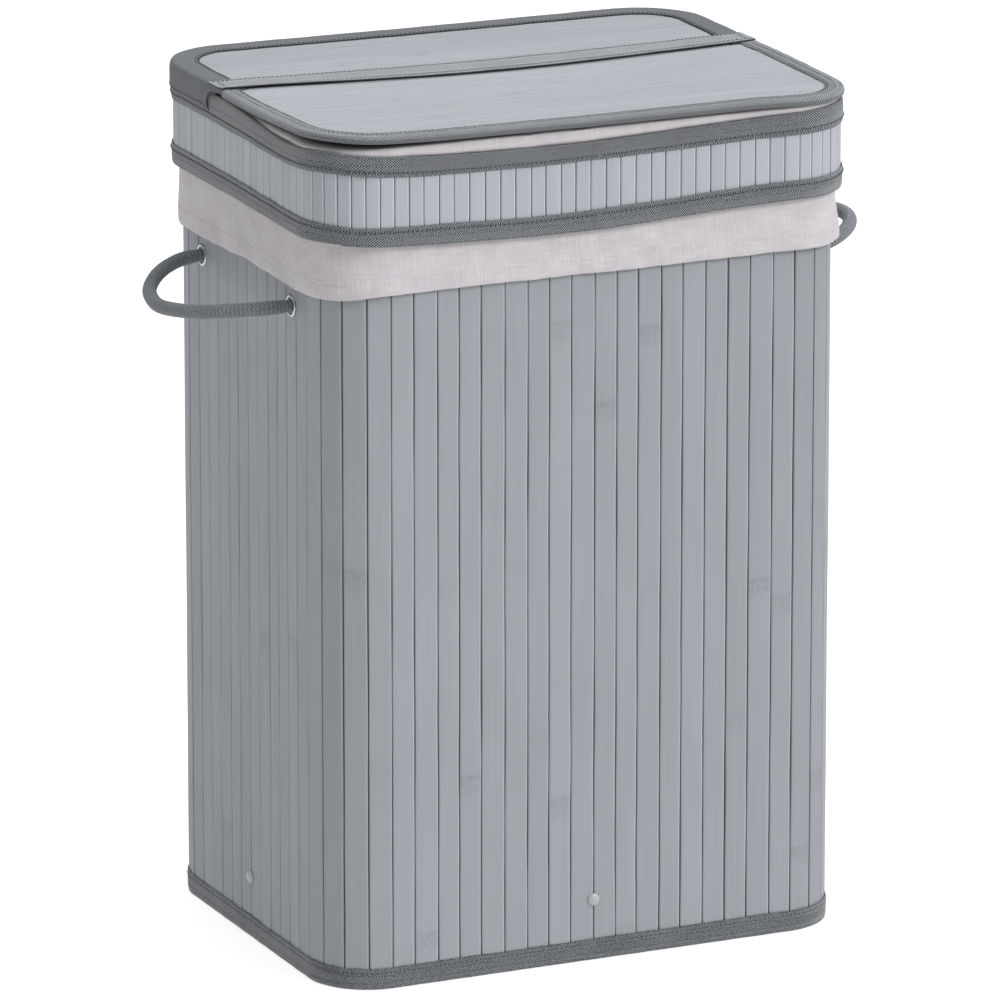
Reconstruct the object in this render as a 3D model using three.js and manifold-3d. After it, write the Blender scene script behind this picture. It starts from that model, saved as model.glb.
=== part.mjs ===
// Lidded laundry hamper: a slatted oval-cornered tube, a fold-up base, a lift-out cloth liner,
// rope handles and a lift-off lid whose front flap folds back on a cloth hinge.
// Millimetres, +Z up, front wall toward -Y, origin on the floor at the middle of the footprint.
import * as THREE from 'three';
import { mergeVertices } from 'three/addons/utils/BufferGeometryUtils.js';
import Module from 'manifold-3d';

// ---------------------------------------------------------------- driving dimensions
const HALF_W = 196;            // body, middle to outer slat face, along X
const HALF_D = 147;            // body, middle to outer slat face, along Y
const CORNER_R = 44;           // outer corner radius of the body
const CORNER_STEPS = 8;        // facets in each corner
const AIR = 0.3;               // gap left between pieces that touch

const SLAT_T = 2.0;            // body slat thickness
const SLAT_WEB = 0.5;          // what is left behind each groove between two slats
const SLAT_GROOVE = 0.9;       // groove between two slats
const SLATS_FRONT = 18;        // slats across the flat part of the front and back
const SLATS_SIDE = 12;         // slats across the flat part of each side
const SLATS_CORNER = 4;        // slats round each corner
const WALL_FOOT_Z = 1.2;       // lower end of the slats
const WALL_TOP_Z = 593.2;      // upper end of the slats
const BACKING_OUT = -2.25;     // cloth behind the slats, outer and inner face
const BACKING_IN = -3.15;

const FOOT_TAPE_H = 15.6;      // binding round the foot of the body
const RIM_TAPE_Z = 580;        // lower edge of the binding on the body rim
const RIM_TOP_Z = 594.4;       // top of that binding

const HANDLE_Z = 472;          // height of the rope eyelets
const EYELET_Y = 78;           // eyelets either side of the middle of each side wall
const EYELET_HOLE = 6.8;       // radius of the hole through the wall
const ROPE_R = 5;              // rope radius
const ROPE_AXIS_OUT = 6.5;     // rope bends this far outside the wall
const ROPE_REACH = 51.5;       // how far the loop reaches beyond that axis
const ROPE_SAG = 12;           // degrees below level at rest

const RIVET_Z = 44;            // rivets that hold the base brackets
const RIVET_HOLE = 1.9;
const BRACKET_W = 30;
const BRACKET_Z = 22;          // underside of the bracket ledge
const BRACKET_H = 36;

const BOARD_Z = 23.3;          // underside of the base board
const BOARD_T = 3;
const BOARD_HALF_W = 188.9;
const BOARD_FRONT = -139.8;
const BOARD_REAR = 138.3;
const BOARD_R = 37;

const CUFF_HEM_Z = 492.5;      // lower edge of the liner cuff
const CUFF_TOP_Z = 596.0;      // top of the liner roll over the rim
const BAG_FLOOR_Z = 28.2;      // underside of the liner bag
const BAG_T = 1.0;

const BAND_Z0 = 530;           // lower edge of the lid band
const BAND_Z1 = 590.5;         // upper edge of the lid band
const BAND_TAPE_H = 14.2;
const BAND_SLATS_FRONT = 27;   // narrower slats round the lid band
const BAND_SLATS_SIDE = 18;
const BAND_SLATS_CORNER = 8;
const BAND_SLAT_IN = 4.8;      // band slats, inner and outer face, out from the body face
const BAND_SLAT_OUT = 6.6;
const BAND_LINING_IN = 4.0;
const BAND_LINING_OUT = 4.5;
const BAND_SKIN_OUT = 7.6;     // outer face of the band tapes

const HINGE_Y = 21.5;          // fold line of the lid
const HINGE_Z = 602.9;
const LID_SKIN_Z0 = 596.3;     // underside of the lid bindings
const LID_SKIN_Z1 = 601.9;     // top of the lid bindings
const LID_SLAT_PITCH = 11.2;   // lid slats run along X
const LID_EDGE = 6.6;          // lid panels reach this far out from the body face
const HINGE_TAPE_W = 25;

const wasm = await Module();
wasm.setup();

// ---------------------------------------------------------------- geometry helpers
const rad = (deg) => (deg * Math.PI) / 180;

// Stations round the rounded rectangle, anticlockwise from the right end of the front wall.
// Each carries its point on the body face and the outward direction there.
function ringStations(halfW = HALF_W, halfD = HALF_D, radius = CORNER_R, midY = 0) {
  const out = [];
  const corners = [[1, -1, -90], [1, 1, 0], [-1, 1, 90], [-1, -1, 180]];
  for (const [sx, sy, start] of corners) {
    for (let i = 0; i <= CORNER_STEPS; i++) {
      const a = rad(start + (90 * i) / CORNER_STEPS);
      const n = [Math.cos(a), Math.sin(a)];
      const c = [sx * (halfW - radius), midY + sy * (halfD - radius)];
      out.push({ p: [c[0] + n[0] * radius, c[1] + n[1] * radius], n });
    }
  }
  return out;
}

function geometryFrom(points, faces) {
  const g = new THREE.BufferGeometry();
  g.setAttribute('position', new THREE.Float32BufferAttribute(points.flat(), 3));
  g.setIndex(faces.flat());
  return g;
}

// Sweep a closed profile of [out, z] points (anticlockwise with "out" to the right)
// along the stations; an open run is closed with flat ends.
function sweep(profile, stations, closed = true) {
  const n = profile.length;
  const points = [];
  for (const s of stations) {
    for (const [o, z] of profile) points.push([s.p[0] + s.n[0] * o, s.p[1] + s.n[1] * o, z]);
  }
  const faces = [];
  const last = closed ? stations.length : stations.length - 1;
  for (let i = 0; i < last; i++) {
    const a = i * n;
    const b = ((i + 1) % stations.length) * n;
    for (let j = 0; j < n; j++) {
      const k = (j + 1) % n;
      faces.push([a + j, b + j, b + k], [a + j, b + k, a + k]);
    }
  }
  if (!closed) {
    const flat = profile.map(([o, z]) => new THREE.Vector2(o, z));
    const end = (stations.length - 1) * n;
    for (const [i, j, k] of THREE.ShapeUtils.triangulateShape(flat, [])) {
      faces.push([i, j, k], [end + i, end + k, end + j]);
    }
  }
  return geometryFrom(points, faces);
}

// Stack rounded rectangles [halfW, halfD, radius, z], capping the first and the last.
function stack(rings, midY = 0) {
  const points = [];
  const faces = [];
  let count = 0;
  for (const [w, d, r, z] of rings) {
    const ring = ringStations(w, d, r, midY);
    count = ring.length;
    for (const s of ring) points.push([s.p[0], s.p[1], z]);
  }
  for (let i = 0; i + 1 < rings.length; i++) {
    for (let j = 0; j < count; j++) {
      const k = (j + 1) % count;
      const a = i * count;
      const b = a + count;
      faces.push([a + j, a + k, b + k], [a + j, b + k, b + j]);
    }
  }
  const end = (rings.length - 1) * count;
  const low = points.push([0, midY, rings[0][3]]) - 1;
  const high = points.push([0, midY, rings[rings.length - 1][3]]) - 1;
  for (let j = 0; j < count; j++) {
    const k = (j + 1) % count;
    faces.push([low, k, j], [high, end + j, end + k]);
  }
  return geometryFrom(points, faces);
}

// Upright wall of constant plan: polygon of [x, y] points pulled from z0 to z1.
function prism(polygon, z0, z1) {
  const shape = new THREE.Shape(polygon.map(([x, y]) => new THREE.Vector2(x, y)));
  const g = new THREE.ExtrudeGeometry(shape, { depth: z1 - z0, bevelEnabled: false });
  g.translate(0, 0, z0);
  return g;
}

// Turn a profile of [radius, along] points round +X; profiles that start and end on the
// axis give a solid, the others a ring.
function turned(profile, segments) {
  const points = [];
  const faces = [];
  const rows = [];
  for (const [r, x] of profile) {
    const row = [];
    for (let i = 0; i < segments; i++) {
      const a = (2 * Math.PI * i) / segments;
      if (r > 0 || i === 0) points.push([x, r * Math.cos(a), r * Math.sin(a)]);
      row.push(points.length - 1);
    }
    rows.push(row);
  }
  const solid = profile[0][0] === 0;
  const last = solid ? rows.length - 1 : rows.length;
  for (let j = 0; j < last; j++) {
    const a = rows[j];
    const b = rows[(j + 1) % rows.length];
    for (let i = 0; i < segments; i++) {
      const k = (i + 1) % segments;
      if (a[i] !== a[k]) faces.push([a[i], b[i], a[k]]);
      if (b[i] !== b[k]) faces.push([a[k], b[i], b[k]]);
    }
  }
  return geometryFrom(points, faces);
}

function toSolid(geometry) {
  const bare = new THREE.BufferGeometry();
  bare.setAttribute('position', geometry.getAttribute('position').clone());
  if (geometry.index) bare.setIndex(geometry.index.clone());
  const g = mergeVertices(bare, 1e-4);
  return new wasm.Manifold(new wasm.Mesh({
    numProp: 3,
    vertProperties: Float32Array.from(g.attributes.position.array),
    triVerts: Uint32Array.from(g.index.array),
  }));
}

function fromSolid(solid) {
  const m = solid.getMesh();
  const g = new THREE.BufferGeometry();
  g.setAttribute('position', new THREE.BufferAttribute(Float32Array.from(m.vertProperties), 3));
  g.setIndex(Array.from(m.triVerts));
  return g;
}

function cut(geometry, tools) {
  let solid = toSolid(geometry);
  for (const tool of tools) solid = solid.subtract(toSolid(tool));
  return fromSolid(solid);
}

// Place something modelled along +X (pointing out of the right-hand wall) on a wall.
function onWall(geometry, wall, along, z) {
  const turn = { right: 0, back: 90, left: 180, front: 270 }[wall];
  const reach = wall === 'left' || wall === 'right' ? HALF_W : HALF_D;
  const g = geometry.clone();
  g.translate(reach, 0, 0);
  g.rotateZ(rad(turn));
  const shift = wall === 'left' || wall === 'right' ? [0, along, z] : [along, 0, z];
  g.translate(...shift);
  return g;
}

// Drill bit for a round hole through a wall.
const drill = (radius) => turned([[0, 12], [radius, 12], [radius, -12], [0, -12]], 16);

// ---------------------------------------------------------------- slatted walls
// Plan outline of a run of slats: grooved outside, plain inside.
function slatOutline(spots, faceOut, faceIn, groove) {
  const outer = [];
  const inner = [];
  const at = (s, o) => [s.p[0] + s.n[0] * o, s.p[1] + s.n[1] * o];
  for (const spot of spots) {
    if (spot.edge === 'mid') {
      outer.push(at(spot, faceOut));
      inner.push(at(spot, faceIn));
      continue;
    }
    const t = [-spot.n[1], spot.n[0]];
    const step = (d, o) => {
      const q = at(spot, o);
      return [q[0] + t[0] * d, q[1] + t[1] * d];
    };
    const web = faceIn + SLAT_WEB;
    if (spot.edge !== 'start') outer.push(step(-groove / 2, faceOut), step(-groove / 2, web));
    if (spot.edge !== 'end') outer.push(step(groove / 2, web), step(groove / 2, faceOut));
    if (spot.edge === 'start') inner.push(step(AIR / 2, faceIn));
    else if (spot.edge === 'end') inner.push(step(-AIR / 2, faceIn));
    else inner.push(at(spot, faceIn));
    if (spot.edge === 'start') outer.unshift(step(AIR / 2, web));
    if (spot.edge === 'end') outer.push(step(-AIR / 2, web));
  }
  return outer.concat(inner.reverse());
}

// Flat run from a to b along a wall, with its outward direction.
function flatSpots(a, b, n, count) {
  const spots = [];
  for (let i = 0; i <= count; i++) {
    const f = i / count;
    const edge = i === 0 ? 'start' : i === count ? 'end' : 'groove';
    spots.push({ p: [a[0] + (b[0] - a[0]) * f, a[1] + (b[1] - a[1]) * f], n, edge });
  }
  return spots;
}

// Corner run: grooves at slat edges, plain points between them where a slat bends.
function cornerSpots(sx, sy, start, count) {
  const spots = [];
  const c = [sx * (HALF_W - CORNER_R), sy * (HALF_D - CORNER_R)];
  const every = CORNER_STEPS / count;
  for (let i = 0; i <= CORNER_STEPS; i++) {
    const a = rad(start + (90 * i) / CORNER_STEPS);
    const n = [Math.cos(a), Math.sin(a)];
    let edge = i % every === 0 ? 'groove' : 'mid';
    if (i === 0) edge = 'start';
    if (i === CORNER_STEPS) edge = 'end';
    spots.push({ p: [c[0] + n[0] * CORNER_R, c[1] + n[1] * CORNER_R], n, edge });
  }
  return spots;
}

function slatRuns(front, side, corner) {
  const w = HALF_W - CORNER_R;
  const d = HALF_D - CORNER_R;
  return {
    front: flatSpots([-w, -HALF_D], [w, -HALF_D], [0, -1], front),
    right: flatSpots([HALF_W, -d], [HALF_W, d], [1, 0], side),
    back: flatSpots([w, HALF_D], [-w, HALF_D], [0, 1], front),
    left: flatSpots([-HALF_W, d], [-HALF_W, -d], [-1, 0], side),
    corner_front_right: cornerSpots(1, -1, -90, corner),
    corner_back_right: cornerSpots(1, 1, 0, corner),
    corner_back_left: cornerSpots(-1, 1, 90, corner),
    corner_front_left: cornerSpots(-1, -1, 180, corner),
  };
}

// ---------------------------------------------------------------- materials and assembly
const material = (color, roughness = 0.8, metalness = 0) =>
  new THREE.MeshStandardMaterial({ color, roughness, metalness });
const BAMBOO = material(0x9a9da2, 0.6);
const TAPE = material(0x6e7176, 0.95);
const LINEN = material(0xcfc9cb, 0.95);
const CLOTH = material(0x8d9095, 0.95);
const ROPE = material(0x66696e, 0.95);
const STEEL = material(0xc4c6c9, 0.3, 1);
const BOARD = material(0xb59b78, 0.8);

const hamper = new THREE.Group();
hamper.name = 'laundry_hamper';

function add(name, geometry, mat) {
  geometry.deleteAttribute('uv');
  geometry.computeVertexNormals();
  const mesh = new THREE.Mesh(geometry, mat);
  mesh.name = name;
  hamper.add(mesh);
}

const ring = ringStations();
const SIDES = ['left', 'right'];
const WALLS = ['front', 'back', 'left', 'right'];

// Tape folded over an edge: a channel open upward (or downward when flipped).
function channel(outer, inner, skin, z0, z1, open) {
  const p = open === 'up'
    ? [[outer, z0], [outer, z1], [outer - skin, z1], [outer - skin, z0 + skin],
      [inner + skin, z0 + skin], [inner + skin, z1], [inner, z1], [inner, z0]]
    : [[outer, z0], [outer, z1], [inner, z1], [inner, z0],
      [inner + skin, z0], [inner + skin, z1 - skin], [outer - skin, z1 - skin], [outer - skin, z0]];
  return p;
}

const tube = (out, inn, z0, z1) => [[out, z0], [out, z1], [inn, z1], [inn, z0]];

// ---------------------------------------------------------------- body walls
const eyeletHoles = (wall) =>
  [-EYELET_Y, EYELET_Y].map((y) => onWall(drill(EYELET_HOLE), wall, y, HANDLE_Z));
const rivetHole = (wall) => onWall(drill(RIVET_HOLE), wall, 0, RIVET_Z);

const bodyRuns = slatRuns(SLATS_FRONT, SLATS_SIDE, SLATS_CORNER);
for (const [name, spots] of Object.entries(bodyRuns)) {
  const outline = slatOutline(spots, 0, -SLAT_T, SLAT_GROOVE);
  let g = prism(outline, WALL_FOOT_Z, WALL_TOP_Z);
  if (WALLS.includes(name)) g = cut(g, [rivetHole(name)]);
  if (SIDES.includes(name)) g = cut(g, eyeletHoles(name));
  add(`body_slats_${name}`, g, BAMBOO);
}

const backing = sweep(tube(BACKING_OUT, BACKING_IN, WALL_FOOT_Z, WALL_TOP_Z), ring);
const allHoles = [...WALLS.map(rivetHole), ...SIDES.flatMap(eyeletHoles)];
add('body_backing_cloth', cut(backing, allHoles), CLOTH);

add('body_foot_tape', sweep(channel(0.95, -4.3, 0.8, 0, FOOT_TAPE_H, 'up'), ring), TAPE);
add('body_rim_tape', sweep(channel(0.95, -4.3, 0.8, RIM_TAPE_Z, RIM_TOP_Z, 'down'), ring), TAPE);

const seam = new THREE.BoxGeometry(20, 0.8, CUFF_HEM_Z - FOOT_TAPE_H - 6);
seam.translate(120, HALF_D + 0.7, (CUFF_HEM_Z + FOOT_TAPE_H) / 2);
add('body_seam_tape', seam, TAPE);

// ---------------------------------------------------------------- base, brackets and rivets
const bracketProfile = [[-3.5, 0], [-3.5, BRACKET_H], [-4.5, BRACKET_H], [-4.5, 1], [-18, 1], [-18, 0]];
const rivetProfile = [
  [0, 2.2], [2.4, 2.0], [4.0, 1.3], [4.6, 0.3], [1.6, 0.3], [1.6, -4.8],
  [3.2, -4.8], [2.9, -5.6], [0, -5.6],
];
for (const wall of WALLS) {
  const halves = [{ p: [0, -BRACKET_W / 2], n: [1, 0] }, { p: [0, BRACKET_W / 2], n: [1, 0] }];
  const raw = sweep(bracketProfile, halves, false);
  add(`base_bracket_${wall}`, cut(onWall(raw, wall, 0, BRACKET_Z), [rivetHole(wall)]), STEEL);
  add(`base_rivet_${wall}`, onWall(turned(rivetProfile, 16), wall, 0, RIVET_Z), STEEL);
}

const boardMid = (BOARD_FRONT + BOARD_REAR) / 2;
const boardHalfD = (BOARD_REAR - BOARD_FRONT) / 2;
const boardTop = BOARD_Z + BOARD_T;
add('base_board', stack([
  [BOARD_HALF_W, boardHalfD, BOARD_R, BOARD_Z],
  [BOARD_HALF_W, boardHalfD, BOARD_R, boardTop],
], boardMid), BOARD);

// Cloth cover: a shallow tray turned over the board.
const skirt = (grow, z) => [BOARD_HALF_W + grow, boardHalfD + grow, BOARD_R + grow, z];
add('base_cover_cloth', stack([
  skirt(0.3, boardTop + AIR), skirt(0.3, BOARD_Z + AIR), skirt(1.0, BOARD_Z + AIR),
  skirt(1.0, boardTop + 1.1),
], boardMid), CLOTH);

const hingeProfile = [[-3.5, 0], [-3.5, 36], [-4.2, 36], [-4.2, 0.8], [-6.9, 0.8], [-6.9, 0]];
for (const side of SIDES) {
  const near = side === 'left' ? -125 : 22;
  const ends = [{ p: [0, near], n: [1, 0] }, { p: [0, near + 103], n: [1, 0] }];
  const strip = sweep(hingeProfile, ends, false);
  strip.translate(HALF_D, 0, 24);
  strip.rotateZ(rad(90));
  strip.scale(-1, 1, 1);
  const index = strip.index.array;
  for (let i = 0; i < index.length; i += 3) [index[i], index[i + 1]] = [index[i + 1], index[i]];
  add(`base_hinge_strip_${side}`, strip, CLOTH);
}

// ---------------------------------------------------------------- eyelets, knots and ropes
const eyeletProfile = [
  [5.8, 0.9], [6.2, 1.2], [8.6, 1.2], [9.2, 0.8], [9.2, 0.25], [6.5, 0.25],
  [6.5, -4.75], [7.9, -4.75], [7.9, -5.4], [5.8, -5.4],
];
const washerProfile = [[6.8, -3.5], [9.2, -3.5], [9.2, -4.4], [6.8, -4.4]];
const knotProfile = [
  [0, 0.9], [ROPE_R, 0.9], [ROPE_R, -5.7], [8.4, -6.6], [9.4, -10], [8.6, -13.5],
  [ROPE_R, -15.4], [ROPE_R, -17.4], [0, -17.8],
];

// Rope loop of one handle, laid out on +X: two rounded ends on the swing axis and an arch
// between them that sags a little.
function ropeLoop() {
  const sides = 10;
  const path = [];
  const bends = 20;
  for (let i = 0; i <= bends; i++) {
    const a = Math.PI * (i / bends);
    const y = EYELET_Y * Math.sign(Math.cos(a)) * Math.abs(Math.cos(a)) ** 0.9;
    const out = ROPE_REACH * Math.sin(a) ** 0.8;
    path.push(new THREE.Vector3(out * Math.cos(rad(ROPE_SAG)), y, -out * Math.sin(rad(ROPE_SAG))));
  }
  const points = [];
  const faces = [];
  const rows = [];
  const ring3 = (centre, dir, r) => {
    const up = new THREE.Vector3(Math.sin(rad(ROPE_SAG)), 0, Math.cos(rad(ROPE_SAG)));
    const side = new THREE.Vector3().crossVectors(dir, up).normalize();
    const row = [];
    for (let k = 0; k < sides; k++) {
      const a = (2 * Math.PI * k) / sides;
      const q = centre.clone().addScaledVector(side, r * Math.cos(a)).addScaledVector(up, r * Math.sin(a));
      row.push(points.push([q.x, q.y, q.z]) - 1);
    }
    rows.push(row);
  };
  const tangent = (i) => {
    const a = path[Math.max(0, i - 1)];
    const b = path[Math.min(path.length - 1, i + 1)];
    return b.clone().sub(a).normalize();
  };
  const first = new THREE.Vector3(1, 0, 0);
  const ballSteps = 3;
  const cap = (centre, dir, sign) => {
    for (let k = 1; k <= ballSteps; k++) {
      const a = (Math.PI / 2) * (sign > 0 ? k / (ballSteps + 1) : 1 - k / (ballSteps + 1));
      const back = centre.clone().addScaledVector(dir, -sign * ROPE_R * Math.cos(a));
      ring3(back, dir, ROPE_R * Math.sin(a));
    }
  };
  cap(path[0], first, 1);
  for (let i = 0; i < path.length; i++) {
    const dir = i === 0 ? first : i === path.length - 1 ? first.clone().negate() : tangent(i);
    ring3(path[i], dir, ROPE_R);
  }
  cap(path[path.length - 1], first.clone().negate(), -1);
  for (let j = 0; j + 1 < rows.length; j++) {
    for (let i = 0; i < sides; i++) {
      const k = (i + 1) % sides;
      faces.push([rows[j][i], rows[j + 1][i], rows[j + 1][k]]);
      faces.push([rows[j][i], rows[j + 1][k], rows[j][k]]);
    }
  }
  const tipA = points.push([-ROPE_R, EYELET_Y, 0]) - 1;
  const tipB = points.push([-ROPE_R, -EYELET_Y, 0]) - 1;
  const lastRow = rows[rows.length - 1];
  for (let i = 0; i < sides; i++) {
    const k = (i + 1) % sides;
    faces.push([tipA, rows[0][i], rows[0][k]], [tipB, lastRow[k], lastRow[i]]);
  }
  return geometryFrom(points, faces);
}

for (const side of SIDES) {
  for (const [end, y] of [['front', -EYELET_Y], ['back', EYELET_Y]]) {
    const put = (g) => onWall(g, side, y, HANDLE_Z);
    add(`${side}_eyelet_${end}`, put(turned(eyeletProfile, 16)), STEEL);
    add(`${side}_eyelet_washer_${end}`, put(turned(washerProfile, 16)), STEEL);
    add(`${side}_rope_knot_${end}`, put(turned(knotProfile, 12)), ROPE);
  }
  const loop = ropeLoop();
  loop.translate(ROPE_AXIS_OUT, 0, 0);
  add(`${side}_rope_handle`, onWall(loop, side, 0, HANDLE_Z), ROPE);
}

// ---------------------------------------------------------------- liner
// The cuff rolls over the rim; the bag hangs from its inner leg, drawn in at the sides to
// pass the rope knots.
const cuff = [
  [2.5, CUFF_HEM_Z + 12.3], [2.5, 594.6], [1.4, CUFF_TOP_Z], [-4.6, CUFF_TOP_Z], [-5.6, 595],
  [-5.6, 560], [-4.6, 560], [-4.6, 594.8], [1.2, 594.8], [1.3, 594], [1.3, CUFF_HEM_Z + 12.3],
];
add('liner_cuff', sweep(cuff, ring), LINEN);
add('liner_hem', sweep(tube(2.9, 1.3, CUFF_HEM_Z, CUFF_HEM_Z + 12), ring), LINEN);

const bagRing = (sideIn, frontIn, z) =>
  [HALF_W - sideIn, HALF_D - frontIn, CORNER_R - (sideIn + frontIn) / 2, z];
add('liner_bag', stack([
  bagRing(20, 7, BAG_FLOOR_Z), bagRing(20, 7, 505), bagRing(5.9, 5.9, 548), bagRing(5.9, 5.9, 590),
  bagRing(6.9, 6.9, 590), bagRing(6.9, 6.9, 548), bagRing(21, 8, 505), bagRing(21, 8, BAG_FLOOR_Z + BAG_T),
]), LINEN);

// ---------------------------------------------------------------- lid band
const bandRuns = slatRuns(BAND_SLATS_FRONT, BAND_SLATS_SIDE, BAND_SLATS_CORNER);
const bandSlatZ = [BAND_Z0 + 1.1, BAND_Z1 - 1.1];
const bandGroups = { front: ['corner_front_left', 'front', 'corner_front_right'], right: ['right'],
  back: ['corner_back_right', 'back', 'corner_back_left'], left: ['left'] };
for (const [name, runs] of Object.entries(bandGroups)) {
  const spots = [];
  for (const run of runs) {
    for (const spot of bandRuns[run]) {
      const joins = spot.edge === 'start' && spots.length > 0;
      if (joins) {
        spots[spots.length - 1] = { ...spot, edge: 'groove' };
      } else {
        spots.push({ ...spot });
      }
    }
  }
  const outline = slatOutline(spots, BAND_SLAT_OUT, BAND_SLAT_IN, 0.7);
  add(`lid_band_slats_${name}`, prism(outline, ...bandSlatZ), BAMBOO);
}
add('lid_band_lining', sweep(tube(BAND_LINING_OUT, BAND_LINING_IN, ...bandSlatZ), ring), CLOTH);
const bandTape = (z0, z1, open) => channel(BAND_SKIN_OUT, 3.05, 0.65, z0, z1, open);
add('lid_band_tape_lower', sweep(bandTape(BAND_Z0, BAND_Z0 + BAND_TAPE_H, 'up'), ring), TAPE);
add('lid_band_tape_upper', sweep(bandTape(BAND_Z1 - BAND_TAPE_H, BAND_Z1, 'down'), ring), TAPE);

// ---------------------------------------------------------------- lid panels
// Outline of a lid panel: the rounded rectangle at "out", trimmed to y0..y1.
function lidOutline(out, y0, y1) {
  const big = 400;
  const plate = stack([
    [HALF_W + out, HALF_D + out, CORNER_R + out, 0], [HALF_W + out, HALF_D + out, CORNER_R + out, 1],
  ]);
  const slab = new THREE.BoxGeometry(big, y1 - y0, 2);
  slab.translate(0, (y0 + y1) / 2, 0.5);
  const g = fromSolid(toSolid(plate).intersect(toSolid(slab)));
  return g;
}

function lidPlate(out, y0, y1, z0, z1) {
  const g = lidOutline(out, y0, y1);
  g.scale(1, 1, z1 - z0);
  g.translate(0, 0, z0);
  return g;
}

// Slats along X: the same plate with shallow grooves across its top.
function lidSlats(out, y0, y1, z0, z1) {
  const tools = [];
  for (let y = HINGE_Y + LID_SLAT_PITCH; y < y1 - 2; y += LID_SLAT_PITCH) tools.push(y);
  for (let y = HINGE_Y - LID_SLAT_PITCH; y > y0 + 2; y -= LID_SLAT_PITCH) tools.push(y);
  const grooves = tools.filter((y) => y > y0 + 2 && y < y1 - 2).map((y) => {
    const g = new THREE.BoxGeometry(500, 0.6, 1.2);
    g.translate(0, y, z1);
    return g;
  });
  return cut(lidPlate(out, y0, y1, z0, z1), grooves);
}

const REAR = [HINGE_Y + 0.5, 200];
const FLAP = [-200, HINGE_Y - 0.5];
const frontPath = [
  { p: [-HALF_W, FLAP[1]], n: [-1, 0] },
  ...ring.slice(27, 36), ...ring.slice(0, 9),
  { p: [HALF_W, FLAP[1]], n: [1, 0] },
];
const rearPath = [
  { p: [HALF_W, REAR[0]], n: [1, 0] },
  ...ring.slice(9, 27),
  { p: [-HALF_W, REAR[0]], n: [-1, 0] },
];

for (const [name, [y0, y1]] of [['rear_panel', REAR], ['flap', FLAP]]) {
  add(`lid_${name}_lining`, lidPlate(-6, y0, y1, 597.1, 597.5), LINEN);
  add(`lid_${name}_board`, lidPlate(LID_EDGE, y0, y1, 597.8, 599.0), BOARD);
  add(`lid_${name}_slats`, lidSlats(LID_EDGE, y0, y1, 599.3, 601.0), BAMBOO);
}

// Bindings: folded over the panel edge; the rear one also runs down over the band tape.
const flapBinding = [
  [8.4, LID_SKIN_Z0 + 1], [8.4, LID_SKIN_Z1 - 1], [7.0, LID_SKIN_Z1], [-5, LID_SKIN_Z1],
  [-5, LID_SKIN_Z1 - 0.6], [6.9, LID_SKIN_Z1 - 0.6], [6.9, LID_SKIN_Z0 + 0.6],
  [-5, LID_SKIN_Z0 + 0.6], [-5, LID_SKIN_Z0], [7.0, LID_SKIN_Z0],
];
add('lid_flap_binding', sweep(flapBinding, frontPath, false), TAPE);
const rearBinding = [
  [8.4, 583], [8.4, LID_SKIN_Z1 - 1], [7.6, LID_SKIN_Z1], [-12, LID_SKIN_Z1],
  [-12, LID_SKIN_Z1 - 0.6], [6.9, LID_SKIN_Z1 - 0.6], [7.85, LID_SKIN_Z1 - 1.6], [7.85, 583],
];
add('lid_rear_binding', sweep(rearBinding, rearPath, false), TAPE);

const tape = new THREE.BoxGeometry(2 * (HALF_W + 7.5), HINGE_TAPE_W, 0.6);
tape.translate(0, HINGE_Y + 0.5 + HINGE_TAPE_W / 2, LID_SKIN_Z1 + AIR + 0.3);
add('lid_hinge_tape', tape, TAPE);

export default hamper;
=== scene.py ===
import math
import random

import bpy
import numpy as np
from mathutils import Matrix, Vector


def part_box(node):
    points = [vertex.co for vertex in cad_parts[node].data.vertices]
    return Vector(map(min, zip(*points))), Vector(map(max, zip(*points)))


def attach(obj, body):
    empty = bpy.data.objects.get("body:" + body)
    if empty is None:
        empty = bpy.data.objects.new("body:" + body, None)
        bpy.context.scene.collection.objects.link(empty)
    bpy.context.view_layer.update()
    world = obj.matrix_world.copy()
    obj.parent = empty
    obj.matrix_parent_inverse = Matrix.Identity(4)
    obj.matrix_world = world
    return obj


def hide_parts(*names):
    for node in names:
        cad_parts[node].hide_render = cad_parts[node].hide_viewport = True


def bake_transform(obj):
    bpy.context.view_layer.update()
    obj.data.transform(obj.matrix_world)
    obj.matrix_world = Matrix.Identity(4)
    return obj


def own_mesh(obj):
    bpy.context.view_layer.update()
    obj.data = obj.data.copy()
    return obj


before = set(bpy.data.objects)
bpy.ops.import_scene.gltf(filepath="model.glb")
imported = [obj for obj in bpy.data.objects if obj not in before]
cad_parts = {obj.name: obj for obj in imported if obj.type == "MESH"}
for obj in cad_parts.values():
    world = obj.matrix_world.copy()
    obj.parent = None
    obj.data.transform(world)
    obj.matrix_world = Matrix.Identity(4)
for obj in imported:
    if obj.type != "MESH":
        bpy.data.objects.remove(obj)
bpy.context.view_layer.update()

# Lengths in this script are millimetres until a mesh is made.
MM = 0.001
TAU = 2 * math.pi


def box_mm(name):
    return [1000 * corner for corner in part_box(name)]


# half width, half depth and corner radius of the body, over its slats
HALF_W = 1000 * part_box("body_slats_right")[1].x
HALF_D = -1000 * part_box("body_slats_front")[0].y
CORNER = round(HALF_W - 1000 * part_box("body_slats_front")[1].x)
# fold line of the lid; height and half spacing of the eyelets
HINGE_Y = 21.5
HANDLE_Z = 474.4
EYELET_Y = 78.0

scene = bpy.context.scene


def add(name, data):
    obj = bpy.data.objects.new(name, data)
    scene.collection.objects.link(obj)
    return obj


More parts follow.
